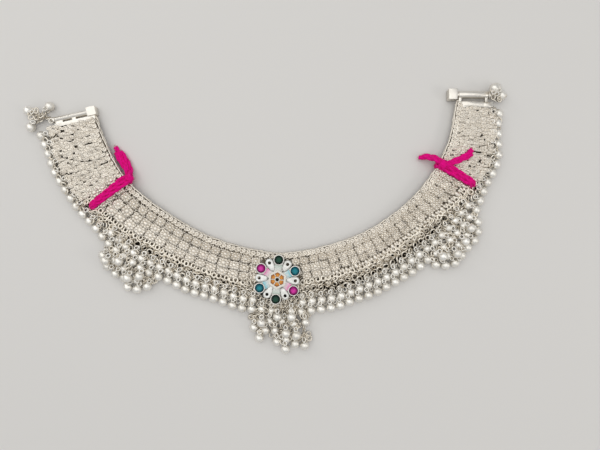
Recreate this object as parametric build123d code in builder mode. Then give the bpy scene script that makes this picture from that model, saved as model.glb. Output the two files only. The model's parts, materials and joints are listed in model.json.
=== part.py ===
from build123d import *

import math
import os
from collections import namedtuple

os.makedirs("parts", exist_ok=True)

# A silver payal (anklet) that lies open and face up in a crescent. Its band bends round one
# centre, so places are given as a radius from that centre and an angle from straight down
# (-Y), positive towards +X. The surface that it lies on is z = 0.

# ---------------------------------------------------------------- driving dimensions, mm
ARC_CENTRE = Vector(5.995, 72.6, 0)
GAP = 0.15  # between pieces that aren't soldered together

BAND_THICKNESS = 2.4
BAND_CROWN = 0.35  # how far the middle of the face stands proud of its edges
BAND_STEP = 3.4  # degrees between two sections

NET_THICKNESS = 1.1
NET_STEP = 3.1

BELL_RADIUS = 2.25
BELL_PITCH = 4.85
BELL_SLIT_WIDTH = 0.6
BELL_SLIT_DEPTH = 1.1
LOOP_RADIUS = 0.72
LOOP_WIRE = 0.24
LOOP_REACH = BELL_RADIUS + 0.5  # from the middle of the ball to the middle of its loop
LOOP_RISES = (48, 75, 20)  # degrees that a loop leans up, in the order tried
LOOP_SWINGS = (0, 35, -35, 70, -70, 110, -110, 150, -150)
ROW_SPACING = 4.1
PILE_HEIGHT = 3.7  # how much higher a bell of the second layer lies

FLOWER_ANGLE = 0.16
FLOWER_RADIUS = 102.3
FLOWER_TURN = -4.6
FLOWER_PLATE = 1.1
STONE_COUNT = 6
STONE_RING = 9.5
STONE_RADIUS = 2.1
HUB_ACROSS = 8.2

PIN_RADIUS = 0.75
PIN_FIT = 0.05  # radial running clearance in the sleeve
TIE_WIDTH = 3.0
YARN_RADIUS = 1.35

# ---------------------------------------------------------------- tables
# The band from its left end to its right end: the radius of its inner edge, of its outer
# edge and of the bells' outermost reach, and how high its underside lies at both edges.
# skew is how many degrees the outer edge leans ahead of the inner one.
Course = namedtuple("Course", "angle skew inner outer fringe inner_lift outer_lift")
BAND = (
    Course(-74.8, 0.2, 91.3, 112.4, 121.9, 1.9, 1.1),
    Course(-68.0, 0.0, 90.9, 113.4, 121.8, 2.2, 1.3),
    Course(-60.0, 0.0, 90.9, 113.2, 121.6, 2.6, 1.4),
    Course(-53.0, 0.0, 90.8, 111.6, 120.5, 2.7, 1.5),
    Course(-45.0, 0.0, 89.5, 109.4, 120.4, 2.1, 1.1),
    Course(-36.0, 0.0, 88.1, 106.0, 120.0, 1.5, 0.7),
    Course(-27.0, 0.0, 88.0, 105.6, 118.4, 1.0, 0.5),
    Course(-18.0, 0.0, 88.3, 105.8, 118.2, 0.7, 0.4),
    Course(-9.0, 0.0, 88.8, 106.4, 119.4, 0.6, 0.4),
    Course(0.0, 0.0, 90.1, 106.4, 120.5, 0.5, 0.4),
    Course(9.0, 0.0, 89.7, 105.6, 121.3, 0.6, 0.4),
    Course(18.0, 0.0, 89.8, 105.6, 121.2, 0.7, 0.4),
    Course(27.0, 0.0, 90.5, 106.0, 121.2, 1.0, 0.5),
    Course(36.0, 0.0, 90.8, 105.2, 121.0, 1.5, 0.7),
    Course(45.0, 0.0, 91.3, 106.0, 121.0, 2.1, 1.1),
    Course(53.0, 0.0, 91.4, 109.0, 121.2, 2.6, 1.4),
    Course(60.0, 0.0, 91.4, 110.4, 119.6, 2.7, 1.5),
    Course(68.0, 0.4, 90.9, 109.6, 118.6, 2.3, 1.3),
    Course(74.0, 1.2, 89.8, 107.4, 115.2, 2.0, 1.1),
    Course(77.6, 1.9, 89.2, 106.0, 112.8, 1.8, 1.0),
)

# The longer bunches that hang outside the two rows of bells. layer 0 lies on the surface
# and layer 1 on top of the others.
Hung = namedtuple("Hung", "angle radius layer")
DROPS = {
    "drop_bells_left": (
        Hung(-43.2, 124.6, 0),
        Hung(-40.9, 127.0, 0),
        Hung(-38.4, 127.4, 0),
        Hung(-36.2, 126.4, 0),
        Hung(-34.6, 129.0, 0),
        Hung(-32.6, 127.4, 0),
        Hung(-31.0, 123.6, 0),
        Hung(-40.4, 122.6, 0),
        Hung(-37.6, 122.6, 0),
        Hung(-33.8, 123.6, 0),
        Hung(-41.6, 124.6, 1),
        Hung(-39.2, 120.6, 1),
        Hung(-35.4, 124.6, 1),
        Hung(-33.4, 120.6, 1),
    ),
    "drop_bells_centre": (
        Hung(-5.1, 126.6, 0),
        Hung(-3.8, 131.6, 0),
        Hung(-2.6, 127.6, 0),
        Hung(-0.4, 127.6, 0),
        Hung(0.0, 133.0, 0),
        Hung(1.9, 132.0, 0),
        Hung(1.7, 136.8, 0),
        Hung(3.8, 134.4, 0),
        Hung(5.7, 135.6, 0),
        Hung(3.6, 124.6, 0),
        Hung(1.1, 123.0, 0),
        Hung(-1.6, 123.0, 0),
        Hung(6.4, 124.4, 0),
        Hung(2.0, 128.4, 1),
        Hung(4.2, 129.6, 1),
        Hung(-3.4, 123.4, 1),
        Hung(0.2, 120.4, 1),
        Hung(3.4, 120.2, 1),
    ),
    "drop_bells_right": (
        Hung(52.6, 122.4, 0),
        Hung(51.2, 126.0, 0),
        Hung(49.2, 127.6, 0),
        Hung(47.1, 127.4, 0),
        Hung(44.9, 128.0, 0),
        Hung(42.7, 128.6, 0),
        Hung(40.8, 126.4, 0),
        Hung(39.2, 122.8, 0),
        Hung(49.0, 123.0, 0),
        Hung(46.0, 122.8, 0),
        Hung(42.6, 123.4, 0),
        Hung(50.4, 121.6, 1),
        Hung(47.4, 123.8, 1),
        Hung(44.2, 125.2, 1),
        Hung(41.4, 121.4, 1),
    ),
    "end_bunch_left": (
        Hung(-80.7, 123.7, 0),
        Hung(-80.9, 112.9, 0),
        Hung(-76.9, 124.0, 0),
    ),
    "end_bunch_right": (
        Hung(85.5, 107.9, 0),
        Hung(83.5, 110.8, 0),
        Hung(84.6, 105.6, 1),
    ),
}

# The clasp's two ends. _from and _to run outwards along the sleeve from its middle, height is
# its own above the surface, and turn swings it away from the radius that it lies near.
Clasp = namedtuple(
    "Clasp",
    "side angle radius turn height sleeve_radius sleeve_from sleeve_to neck"
    " nut_length nut_width nut_height plate_away plate_width plate_from plate_to",
)
CLASPS = (
    Clasp(
        "left", -77.3, 101.0, 0.0, 2.4, 1.3, -6.0, 10.2, 0.0,
        4.4, 4.2, 4.0, 3.1, 1.8, -9.4, 10.6,
    ),
    Clasp(
        "right", 82.7, 96.6, 7.3, 2.7, 1.75, -7.1, 7.1, 1.0,
        4.1, 5.2, 4.6, 5.1, 2.4, -7.1, 9.3,
    ),
)
LUGS = {
    "left": ((-9.4, -6.2), (0.0, 2.0), (6.6, 10.2)),
    "right": ((-7.1, -5.7), (5.8, 7.1)),
}

# The wool ties: the angle that each crosses the band at, how far its knot stands outside
# (-) or inside (+) the band's inner edge and above its face, and the routes of its ends.
Tie = namedtuple("Tie", "side angle knot_in knot_up knot_radius tails")
Point = namedtuple("Point", "across along up")
LEFT_TAIL = (
    Point(-2.5, 0.0, 3.9),
    Point(-3.4, -4.6, 2.2),
    Point(-3.6, -10.4, 1.45),
    Point(-4.6, -17.2, 1.4),
)
RIGHT_INNER_TAIL = (
    Point(1.6, 0.0, 7.1),
    Point(-2.6, 0.4, 6.6),
    Point(-6.4, 0.0, 3.0),
    Point(-9.6, -1.6, 1.5),
)
RIGHT_OUTER_TAIL = (
    Point(1.6, 0.0, 7.1),
    Point(4.6, 4.0, 6.9),
    Point(8.6, 9.6, 6.0),
    Point(10.2, 13.6, 5.9),
)
TIES = (
    Tie("left", -53.2, -2.5, -1.0, 2.0, (LEFT_TAIL,)),
    Tie("right", 59.6, 1.6, 1.9, 1.9, (RIGHT_INNER_TAIL, RIGHT_OUTER_TAIL)),
)


# ---------------------------------------------------------------- places
def place(radius, angle, height=0.0):
    """The point at a radius and angle round the arc's centre."""
    turn = math.radians(angle)
    return ARC_CENTRE + Vector(radius * math.sin(turn), -radius * math.cos(turn), height)


def outward(angle):
    """The level direction away from the arc's centre."""
    return (place(1, angle) - place(0, angle)).normalized()


def course(angle):
    """The band's sizes at an angle, on a smooth curve through the table's rows."""
    last = len(BAND) - 1
    k = max(i for i in range(last) if i == 0 or BAND[i].angle <= angle)
    share = (angle - BAND[k].angle) / (BAND[k + 1].angle - BAND[k].angle)
    rows = BAND[max(k - 1, 0)], BAND[k], BAND[k + 1], BAND[min(k + 2, last)]
    values = [
        b + share / 2 * ((c - a) + share * ((2 * a - 5 * b + 4 * c - d) + share * (3 * (b - c) + d - a)))
        for a, b, c, d in zip(*rows)
    ]
    return Course(angle, *values[1:])


def stations(step):
    """Even angles from one end of the band to the other."""
    first, last = BAND[0].angle, BAND[-1].angle
    count = round((last - first) / step)
    return [first + (last - first) * i / count for i in range(count + 1)]


def section_plane(angle):
    """An upright plane across the band: x runs outwards from its inner edge, y is up."""
    here = course(angle)
    start = place(here.inner, angle)
    across = (place(here.outer, angle + here.skew) - start).normalized()
    return Plane(origin=start, x_dir=across, z_dir=across.cross(Vector(0, 0, 1)))


def band_width(angle):
    here = course(angle)
    return (place(here.outer, angle + here.skew) - place(here.inner, angle)).length


def lift(angle, across):
    """How high the band's underside lies, at a distance from its inner edge."""
    here = course(angle)
    return here.inner_lift + (here.outer_lift - here.inner_lift) * across / band_width(angle)


# ---------------------------------------------------------------- the band
BAND_EDGE = 0.6  # the bevel along its four edges
CROWN_AT = 0.45  # where its face is highest, as a share of its width


def band_profile(angle):
    width = band_width(angle)
    outline = (
        (0, BAND_EDGE),
        (0, BAND_THICKNESS - BAND_EDGE),
        (BAND_EDGE, BAND_THICKNESS),
        (width * CROWN_AT, BAND_THICKNESS + BAND_CROWN),
        (width - BAND_EDGE, BAND_THICKNESS),
        (width, BAND_THICKNESS - BAND_EDGE),
        (width, BAND_EDGE),
        (width - BAND_EDGE, 0),
        (BAND_EDGE, 0),
    )
    return [(across, up + lift(angle, across)) for across, up in outline]


with BuildPart() as chain_band:
    for station in stations(BAND_STEP):
        with BuildSketch(section_plane(station)):
            with BuildLine():
                Polyline(*band_profile(station), close=True)
            make_face()
    loft(ruled=True)


# ---------------------------------------------------------------- where the bells lie
WAVE_SIZE = 0.35  # a row of bells isn't quite even: it waves in and out
WAVE_RATE = 2.1
FIRST_BELL = 0.4  # degrees from the band's end
FLOWER_REACH = 5.5  # degrees to each side of the flower without a second row
ROOM_BY_BAND = 1.9  # what a second row's bell needs between itself and the band
CENTRE_GAP = (-1.2, 2.2)  # where the centre drop takes the place of the outer row
SETTLE_ROUNDS = 60
SETTLE_GAP = 0.2


def bell_row(inset, skip):
    """Bells side by side along the fringe, as far in from its outermost reach as inset."""
    row = []
    angle = BAND[0].angle + FIRST_BELL
    while angle < BAND[-1].angle + BAND[-1].skew:
        here = course(min(angle, BAND[-1].angle))
        radius = here.fringe - BELL_RADIUS - inset + WAVE_SIZE * math.sin(WAVE_RATE * angle)
        if not skip(angle, radius, here):
            row.append(place(radius, angle, BELL_RADIUS))
        angle += math.degrees(BELL_PITCH / radius)
    return row


BUNCH_RING_RADIUS = 1.7
BUNCH_RING_WIRE = 0.4
BUNCH_RINGS = {
    "end_bunch_left": place(118.8, -79.1, 1.4),
    "end_bunch_right": place(105.6, 83.4, 2.7),
}


def too_near_band(angle, radius, here):
    under_flower = abs(angle - FLOWER_ANGLE) < FLOWER_REACH
    return under_flower or radius - here.outer < BELL_RADIUS + ROOM_BY_BAND


def in_centre_drop(angle, radius, here):
    return CENTRE_GAP[0] < angle < CENTRE_GAP[1]


def settle(groups):
    """Pushes bells that lie closer than they can apart, a little at a time."""
    least = 2 * BELL_RADIUS + SETTLE_GAP
    balls = [[name, ball] for name, group in groups.items() for ball in group]
    for _ in range(SETTLE_ROUNDS):
        for i, (_, first) in enumerate(balls):
            for j in range(i + 1, len(balls)):
                apart = balls[j][1] - balls[i][1]
                short = least - apart.length
                if short > 0:
                    push = apart.normalized() * (short / 2 + 0.01)
                    balls[i][1] = balls[i][1] - push
                    balls[j][1] = balls[j][1] + push
        for ball in balls:
            ball[1] = Vector(ball[1].X, ball[1].Y, max(ball[1].Z, BELL_RADIUS))
    return {name: [ball for owner, ball in balls if owner == name] for name in groups}


rows = bell_row(0, in_centre_drop) + bell_row(ROW_SPACING, too_near_band)
bells = {
    "fringe_bells_left": [ball for ball in rows if ball.X < ARC_CENTRE.X],
    "fringe_bells_right": [ball for ball in rows if ball.X >= ARC_CENTRE.X],
}
for name, hung in DROPS.items():
    bells[name] = [place(h.radius, h.angle, BELL_RADIUS + PILE_HEIGHT * h.layer) for h in hung]
bells = settle(bells)


# ---------------------------------------------------------------- the bells
with BuildPart() as bell:
    Sphere(BELL_RADIUS, rotation=(0, 0, 90))
    with Locations((-BELL_RADIUS, 0, 0)):
        Box(2 * BELL_SLIT_DEPTH, 2 * BELL_RADIUS, BELL_SLIT_WIDTH, mode=Mode.SUBTRACT)
    with Locations(Location((LOOP_REACH, 0, 0), (90, 0, 0))):
        Torus(LOOP_RADIUS, LOOP_WIRE)


balls = [ball for group in bells.values() for ball in group]
loops = []


def lean(ball, target):
    """How a bell's loop leans: towards target and up where it can, and clear of the rest."""
    heading = math.degrees(math.atan2(target.Y - ball.Y, target.X - ball.X))
    loop_outer = LOOP_RADIUS + LOOP_WIRE
    for rise in LOOP_RISES:
        for swing in LOOP_SWINGS:
            along = Vector(LOOP_REACH, 0, 0).rotate(Axis.Y, -rise).rotate(Axis.Z, heading + swing)
            loop = ball + along
            free_of_balls = all(
                (loop - other).length > BELL_RADIUS + loop_outer + GAP for other in balls if other != ball
            )
            free_of_loops = all((loop - other).length > 2 * loop_outer + GAP for other in loops)
            if free_of_balls and free_of_loops:
                loops.append(loop)
                return heading + swing, rise
    raise ValueError(f"no room for the loop of the bell at {ball}")


def bell_seats(name):
    seats = []
    for k, ball in enumerate(bells[name]):
        heading, rise = lean(ball, BUNCH_RINGS.get(name, ARC_CENTRE))
        turned = Location((0, 0, 0), (0, 0, heading)) * Location((0, 0, 0), (0, -rise, 0))
        seats.append(Location(ball) * turned * Location((0, 0, 0), (90 * (k % 2), 0, 0)))
    return seats


bell_nodes = {}
for name in bells:
    with BuildPart() as bell_node:
        with Locations(*bell_seats(name)):
            add(bell.part)
        if name == "end_bunch_left":
            with Locations(BUNCH_RINGS[name]):
                Torus(BUNCH_RING_RADIUS, BUNCH_RING_WIRE)
    bell_nodes[name] = bell_node


# ---------------------------------------------------------------- the ring net
NET_RISE = 0.4  # how much higher the net lies than the band's underside beside it
NET_LOW = 0.35  # how high its outer edge lies
NET_LEAST = 0.8  # its narrowest width
NOTCH = (3.4, TIE_WIDTH + 0.6, 20)  # where a tie goes through it


def net_outer(angle):
    """The net stops short of the nearest bells on either side."""
    near = math.radians(1.1 * NET_STEP)
    reach = [course(angle).fringe - BELL_RADIUS]
    for ball in bells["fringe_bells_left"] + bells["fringe_bells_right"]:
        offset = ball - ARC_CENTRE
        if abs(math.atan2(offset.X, -offset.Y) - math.radians(angle)) < near:
            reach.append(math.hypot(offset.X, offset.Y))
    return min(reach) - BELL_RADIUS - GAP


def net_profile(angle):
    here = course(angle)
    start = band_width(angle) + GAP
    end = max(band_width(angle) + net_outer(angle) - here.outer, start + NET_LEAST)
    high = here.outer_lift + NET_RISE
    return [(start, high), (start, high + NET_THICKNESS), (end, NET_LOW + NET_THICKNESS), (end, NET_LOW)]


with BuildPart() as fringe_net:
    for station in stations(NET_STEP):
        with BuildSketch(section_plane(station)):
            with BuildLine():
                Polyline(*net_profile(station), close=True)
            make_face()
    loft(ruled=True)
    for tie in TIES:
        middle = section_plane(tie.angle)
        with Locations(Plane(
            origin=middle.origin + middle.x_dir * band_width(tie.angle),
            x_dir=middle.x_dir, z_dir=(0, 0, 1),
        )):
            Box(*NOTCH, mode=Mode.SUBTRACT)


# ---------------------------------------------------------------- the clasp's ends and pins
def clasp_plane(clasp):
    """x runs outwards along the sleeve, z is up, from the middle of the sleeve's axis."""
    along = outward(clasp.angle).rotate(Axis.Z, clasp.turn)
    return Plane(origin=place(clasp.radius, clasp.angle, clasp.height), x_dir=along, z_dir=(0, 0, 1))


def block(low, high, mode=Mode.ADD):
    """A box between two corners of the current workplane."""
    middle = Vector(*[(a + b) / 2 for a, b in zip(low, high)])
    sides = [b - a for a, b in zip(low, high)]
    with Locations(middle):
        Box(*sides, mode=mode)


def rod(x_from, x_to, radius, mode=Mode.ADD):
    """A cylinder along the current workplane's x axis."""
    with Locations(Location(((x_from + x_to) / 2, 0, 0), (0, 90, 0))):
        Cylinder(radius, x_to - x_from, mode=mode)


NUT_WALL = 0.8
NUT_CORNER = 0.4
NECK_STEP = 0.5  # how much slimmer the neck is than the sleeve
LUG_HALF_HEIGHT = 0.9
PLATE_TOP = 1.5  # above the sleeve's axis
HEAD_LENGTH = 0.9
HEAD_RIM = 0.15  # how far the pin's head stands out past the sleeve
RING_AT = 2.0  # from the sleeve's end to the middle of the pin's ring
RING_RADIUS = 1.15
RING_WIRE = 0.35
clasp_nodes = {}
for clasp in CLASPS:
    towards_band = 1 if clasp.side == "left" else -1
    nut_to = clasp.sleeve_from - clasp.neck
    nut_from = nut_to - clasp.nut_length
    plate_near = towards_band * (clasp.plate_away - clasp.plate_width / 2)
    plate_far = towards_band * (clasp.plate_away + clasp.plate_width / 2)

    with BuildPart(clasp_plane(clasp)) as clasp_end:
        rod(clasp.sleeve_from, clasp.sleeve_to, clasp.sleeve_radius)
        if clasp.neck:
            rod(nut_to, clasp.sleeve_from, clasp.sleeve_radius - NECK_STEP)
        block((nut_from, -clasp.nut_width / 2, -clasp.nut_height / 2),
              (nut_to, clasp.nut_width / 2, clasp.nut_height / 2))
        fillet(clasp_end.edges().filter_by(Axis.Z).sort_by(SortBy.DISTANCE)[-4:], NUT_CORNER)
        for lug_from, lug_to in LUGS[clasp.side]:
            block((lug_from, min(0, plate_near), -LUG_HALF_HEIGHT),
                  (lug_to, max(0, plate_near), LUG_HALF_HEIGHT))
        block((clasp.plate_from, min(plate_near, plate_far), -clasp.height),
              (clasp.plate_to, max(plate_near, plate_far), PLATE_TOP))
        rod(nut_from + NUT_WALL, clasp.sleeve_to, PIN_RADIUS + PIN_FIT, mode=Mode.SUBTRACT)
    clasp_nodes["clasp_end_" + clasp.side] = clasp_end

    head_from = clasp.sleeve_to + GAP
    with BuildPart(clasp_plane(clasp)) as screw_pin:
        rod(nut_from + NUT_WALL + GAP, head_from, PIN_RADIUS)
        rod(head_from, head_from + HEAD_LENGTH, clasp.sleeve_radius + HEAD_RIM)
        with Locations((head_from + RING_AT, 0, 0)):
            Torus(RING_RADIUS, RING_WIRE)
    clasp_nodes["screw_pin_" + clasp.side] = screw_pin


# ---------------------------------------------------------------- the flower
FLOWER_FLOOR = lift(FLOWER_ANGLE, 8.0) + BAND_THICKNESS + BAND_CROWN + GAP
SEAT_GAP = 0.1  # round each stone and each piece of enamel
BEZEL_WALL = 0.4
BEZEL_HEIGHT = 1.7
PLATE_RADIUS = 8.3
LOBE_RING = 8.8
LOBE_RADIUS = 1.9
LOBE_HOLE = 0.85
LOBE_ROOT = 4.0  # where a lobe's petal starts, under the hub
LOBE_ROOT_WIDTH = 2.0
LOBE_RAISED = 0.6
HUB_HEIGHT = 1.7
HUB_WALL = 1.0
HUB_BOSS = 1.35
HUB_HOLE = 0.9
SPOKE_WIDTH = 0.4
HUB_SINK = 0.3  # the hub's enamel lies below its walls
PETAL_FROM = 4.3
PETAL_TO = 6.9
PETAL_WIDTHS = (2.2, 3.4)
PETAL_THICKNESS = 0.7
flower_plane = Plane(
    origin=place(FLOWER_RADIUS, FLOWER_ANGLE, FLOWER_FLOOR),
    x_dir=Vector(1, 0, 0).rotate(Axis.Z, FLOWER_TURN), z_dir=(0, 0, 1),
)
sixth = 360 / STONE_COUNT
to_lobes = 90 + sixth / 2
hub_radius = HUB_ACROSS / 2
cell_radius = hub_radius - HUB_WALL
bezel_radius = STONE_RADIUS + SEAT_GAP + BEZEL_WALL


def on_face(height):
    return flower_plane.offset(height)


def hexagon(radius, mode=Mode.ADD):
    """A hexagon with its corners towards the stones, by half its width across flats."""
    RegularPolygon(radius, STONE_COUNT, major_radius=False, rotation=90, mode=mode)


def wedges(start_angle, near, far, near_width, far_width):
    """A wedge in each sixth, from one distance from the flower's middle to another."""
    with PolarLocations(0, STONE_COUNT, start_angle=start_angle):
        Polygon(
            (near, -near_width / 2), (far, -far_width / 2),
            (far, far_width / 2), (near, near_width / 2), align=None,
        )


def bezel_circles(radius, mode=Mode.ADD):
    with PolarLocations(STONE_RING, STONE_COUNT, start_angle=90):
        Circle(radius, mode=mode)


def lobe_circles(radius, mode=Mode.ADD):
    with PolarLocations(LOBE_RING, STONE_COUNT, start_angle=to_lobes):
        Circle(radius, mode=mode)


with BuildPart() as flower_setting:
    with BuildSketch(on_face(0)):
        Circle(PLATE_RADIUS)
        bezel_circles(bezel_radius)
        lobe_circles(LOBE_RADIUS)
        lobe_circles(LOBE_HOLE, Mode.SUBTRACT)
        Circle(HUB_HOLE, mode=Mode.SUBTRACT)
    extrude(amount=FLOWER_PLATE)
    with BuildSketch(on_face(FLOWER_PLATE)):
        wedges(to_lobes, LOBE_ROOT, LOBE_RING, LOBE_ROOT_WIDTH, 2 * LOBE_RADIUS)
        lobe_circles(LOBE_RADIUS)
        lobe_circles(LOBE_HOLE, Mode.SUBTRACT)
        bezel_circles(bezel_radius, Mode.SUBTRACT)
    extrude(amount=LOBE_RAISED)
    with BuildSketch(on_face(FLOWER_PLATE)):
        bezel_circles(bezel_radius)
        bezel_circles(bezel_radius - BEZEL_WALL, Mode.SUBTRACT)
    extrude(amount=BEZEL_HEIGHT)
    with BuildSketch(on_face(FLOWER_PLATE)):
        hexagon(hub_radius)
        hexagon(cell_radius, Mode.SUBTRACT)
        with PolarLocations(cell_radius / 2, STONE_COUNT, start_angle=to_lobes):
            Rectangle(cell_radius, SPOKE_WIDTH)
        Circle(HUB_BOSS)
        Circle(HUB_HOLE, mode=Mode.SUBTRACT)
    extrude(amount=HUB_HEIGHT)

with BuildPart() as hub_enamel:
    with BuildSketch(on_face(FLOWER_PLATE + SEAT_GAP)):
        hexagon(cell_radius - SEAT_GAP)
        with PolarLocations(cell_radius / 2, STONE_COUNT, start_angle=to_lobes):
            Rectangle(2 * cell_radius, SPOKE_WIDTH + 2 * SEAT_GAP, mode=Mode.SUBTRACT)
        Circle(HUB_BOSS + SEAT_GAP, mode=Mode.SUBTRACT)
    extrude(amount=HUB_HEIGHT - HUB_SINK)

with BuildPart() as petal_enamel:
    with BuildSketch(on_face(FLOWER_PLATE + SEAT_GAP)):
        wedges(90, PETAL_FROM, PETAL_TO, *PETAL_WIDTHS)
        bezel_circles(bezel_radius + SEAT_GAP, Mode.SUBTRACT)
        hexagon(hub_radius + SEAT_GAP, Mode.SUBTRACT)
    extrude(amount=PETAL_THICKNESS)


# A cut stone from its point up: the height and the radius of each of its levels.
CUT_SIDES = 12
CUT = ((0.15, 0.35), (1.25, STONE_RADIUS), (1.4, STONE_RADIUS), (2.2, 1.25))
STONE_PLACES = ("top", "upper_right", "lower_right", "bottom", "lower_left", "upper_left")
stone_nodes = {}
for k, where in enumerate(STONE_PLACES):
    turn = math.radians(90 - sixth * k)
    with BuildPart() as stone:
        for height, radius in CUT:
            with BuildSketch(on_face(FLOWER_PLATE + height)):
                with Locations((STONE_RING * math.cos(turn), STONE_RING * math.sin(turn))):
                    RegularPolygon(radius, CUT_SIDES)
        loft(ruled=True)
    stone_nodes["stone_" + where] = stone


# ---------------------------------------------------------------- the wool ties
# How far the wool's outer and inner outlines stand off the band's side, face and underside.
WOOL_OUTER = (1.35, 1.8, 1.15)
WOOL_INNER = (0.25, 0.25, 0.25)


def belt_outline(angle, side, top, bottom):
    """The band's outline with room round it, for a loop that goes right round the band."""
    width = band_width(angle)
    face = BAND_THICKNESS + top
    outline = ((-side, -bottom), (-side, face), (width * CROWN_AT, face + BAND_CROWN),
               (width + side, face), (width + side, -bottom))
    return [(across, up + lift(angle, across)) for across, up in outline]


def tail_point(tie, point):
    """A point beside the tie: across and along the band from its inner edge, and up."""
    plane = section_plane(tie.angle)
    along = Vector(0, 0, 1).cross(plane.x_dir)
    level = plane.origin + plane.x_dir * point.across + along * point.along
    return level + Vector(0, 0, point.up)


def arc_radii(points):
    """As large an arc at each corner as its two runs allow."""
    radii = []
    for before, here, after in zip(points, points[1:], points[2:]):
        turn = math.radians((here - before).get_angle(after - here))
        shorter = min((here - before).length, (after - here).length)
        radii.append(0.45 * shorter / math.tan(turn / 2))
    return radii


tie_nodes = {}
for tie in TIES:
    tie_plane = section_plane(tie.angle)
    with BuildPart() as wool_tie:
        with BuildSketch(tie_plane):
            with BuildLine():
                Polyline(*belt_outline(tie.angle, *WOOL_OUTER), close=True)
            make_face()
            with BuildLine():
                Polyline(*belt_outline(tie.angle, *WOOL_INNER), close=True)
            make_face(mode=Mode.SUBTRACT)
        extrude(amount=TIE_WIDTH / 2, both=True)
        knot_height = lift(tie.angle, 0) + BAND_THICKNESS + tie.knot_up
        with Locations(tail_point(tie, Point(tie.knot_in, 0, knot_height))):
            Sphere(tie.knot_radius)
        for tail in tie.tails:
            route = [tail_point(tie, point) for point in tail]
            with BuildLine() as line:
                FilletPolyline(*route, radius=arc_radii(route))
            with BuildSketch(Plane(origin=line.line @ 0, z_dir=line.line % 0)):
                Circle(YARN_RADIUS)
            sweep(path=line.line)
    tie_nodes["wool_tie_" + tie.side] = wool_tie


# ---------------------------------------------------------------- write the pieces
nodes = {
    "chain_band": chain_band,
    "fringe_net": fringe_net,
    **bell_nodes,
    **clasp_nodes,
    "flower_setting": flower_setting,
    "hub_enamel": hub_enamel,
    "petal_enamel": petal_enamel,
    **stone_nodes,
    **tie_nodes,
}
boxes = []
for name, node in nodes.items():
    node.part.label = name
    export_step(node.part, f"parts/{name}.step")
    box = node.part.bounding_box()
    boxes.append(box)
    print(f"{name:22} solids {len(node.part.solids()):3} volume {node.part.volume:9.1f}")

low = [min(getattr(box.min, axis) for box in boxes) for axis in "XYZ"]
high = [max(getattr(box.max, axis) for box in boxes) for axis in "XYZ"]
print("box", [round(v, 3) for v in low], [round(v, 3) for v in high])
print("middle", [round((a + b) / 2, 3) for a, b in zip(low, high)])
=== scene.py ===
# %% [markdown]
# # A silver payal, lying open on a table
# A payal is a broad silver anklet. This one is a woven band with an enamelled flower at its
# middle, a fringe of small round bells along its outer edge, and a clasp part at each end.
# The solid model of it is loaded first, as a fixed frame. Everything after that dresses the
# frame: most pieces of chain are one small shape, copied hundreds of times along the band.

# %% Load the frame
import json
import math
import random
from collections import namedtuple

import bmesh
import bpy
import numpy as np
from mathutils import Matrix, Vector
from mathutils.bvhtree import BVHTree


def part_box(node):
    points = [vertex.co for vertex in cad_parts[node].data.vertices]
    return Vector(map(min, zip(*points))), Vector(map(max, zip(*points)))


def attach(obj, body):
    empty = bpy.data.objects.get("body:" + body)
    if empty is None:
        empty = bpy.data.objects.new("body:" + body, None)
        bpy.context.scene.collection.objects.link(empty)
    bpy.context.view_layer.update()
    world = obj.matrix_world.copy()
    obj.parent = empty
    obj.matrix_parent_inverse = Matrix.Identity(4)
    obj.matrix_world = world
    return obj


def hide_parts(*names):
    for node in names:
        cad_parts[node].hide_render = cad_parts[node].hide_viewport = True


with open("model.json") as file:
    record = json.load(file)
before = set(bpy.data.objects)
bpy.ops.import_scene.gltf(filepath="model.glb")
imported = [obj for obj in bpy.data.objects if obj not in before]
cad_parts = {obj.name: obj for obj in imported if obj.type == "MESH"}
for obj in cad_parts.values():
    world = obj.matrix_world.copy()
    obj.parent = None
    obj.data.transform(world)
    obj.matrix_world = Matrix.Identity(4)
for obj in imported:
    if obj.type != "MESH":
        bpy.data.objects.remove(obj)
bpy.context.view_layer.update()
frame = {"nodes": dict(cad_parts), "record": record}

MM = 0.001
UP = Vector((0, 0, 1))
chance = random.Random(11)

# %% [markdown]
# ## Finding places on the band
# The band bends round the middle of the ankle, so a place on it is an angle and a radius. A
# height can't be worked out from those, because the two arms lift off the table. It could be
# typed in, but it is safer to ask the solid: a plumb line is dropped on it, and the point
# that it meets also tells which way the metal faces there.

# %% Angles and radii
mounts = {mount["name"]: mount for mount in frame["record"]["mounts"]}
ANKLE_CENTRE = Vector(mounts["ankle_centre"]["pos_m"])
print("the ankle's centre:", [round(v, 4) for v in ANKLE_CENTRE])


def outwards(angle):
    """The level direction away from the ankle, at an angle from straight down."""
    turn = math.radians(angle)
    return Vector((math.sin(turn), -math.cos(turn), 0))


def place(angle, radius, height=0.0):
    """The point at an angle, a radius and a height, in mm, round the ankle's centre."""
    return ANKLE_CENTRE + MM * (radius * outwards(angle) + height * UP)


def angle_and_radius(point):
    """The other way round: the angle and the radius in mm of a point."""
    level = (point - ANKLE_CENTRE) / MM
    return math.degrees(math.atan2(level.x, -level.y)), math.hypot(level.x, level.y)


# %% Plumb lines
PLUMB_FROM = 30.0


def tree_of(*names):
    """A search tree of the named solids' faces."""
    faces = bmesh.new()
    for name in names:
        faces.from_mesh(frame["nodes"][name].data)
    return BVHTree.FromBMesh(faces)


def plumb(tree, angle, radius):
    """Where a plumb line meets the tree, and which way it faces there."""
    point, normal, _, _ = tree.ray_cast(place(angle, radius, PLUMB_FROM), -UP)
    return point, normal


def last_hit(hits, inside, outside, halvings=14):
    """The value between inside and outside at which the metal ends."""
    for _ in range(halvings):
        middle = (inside + outside) / 2
        if hits(middle):
            inside = middle
        else:
            outside = middle
    return inside


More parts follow.
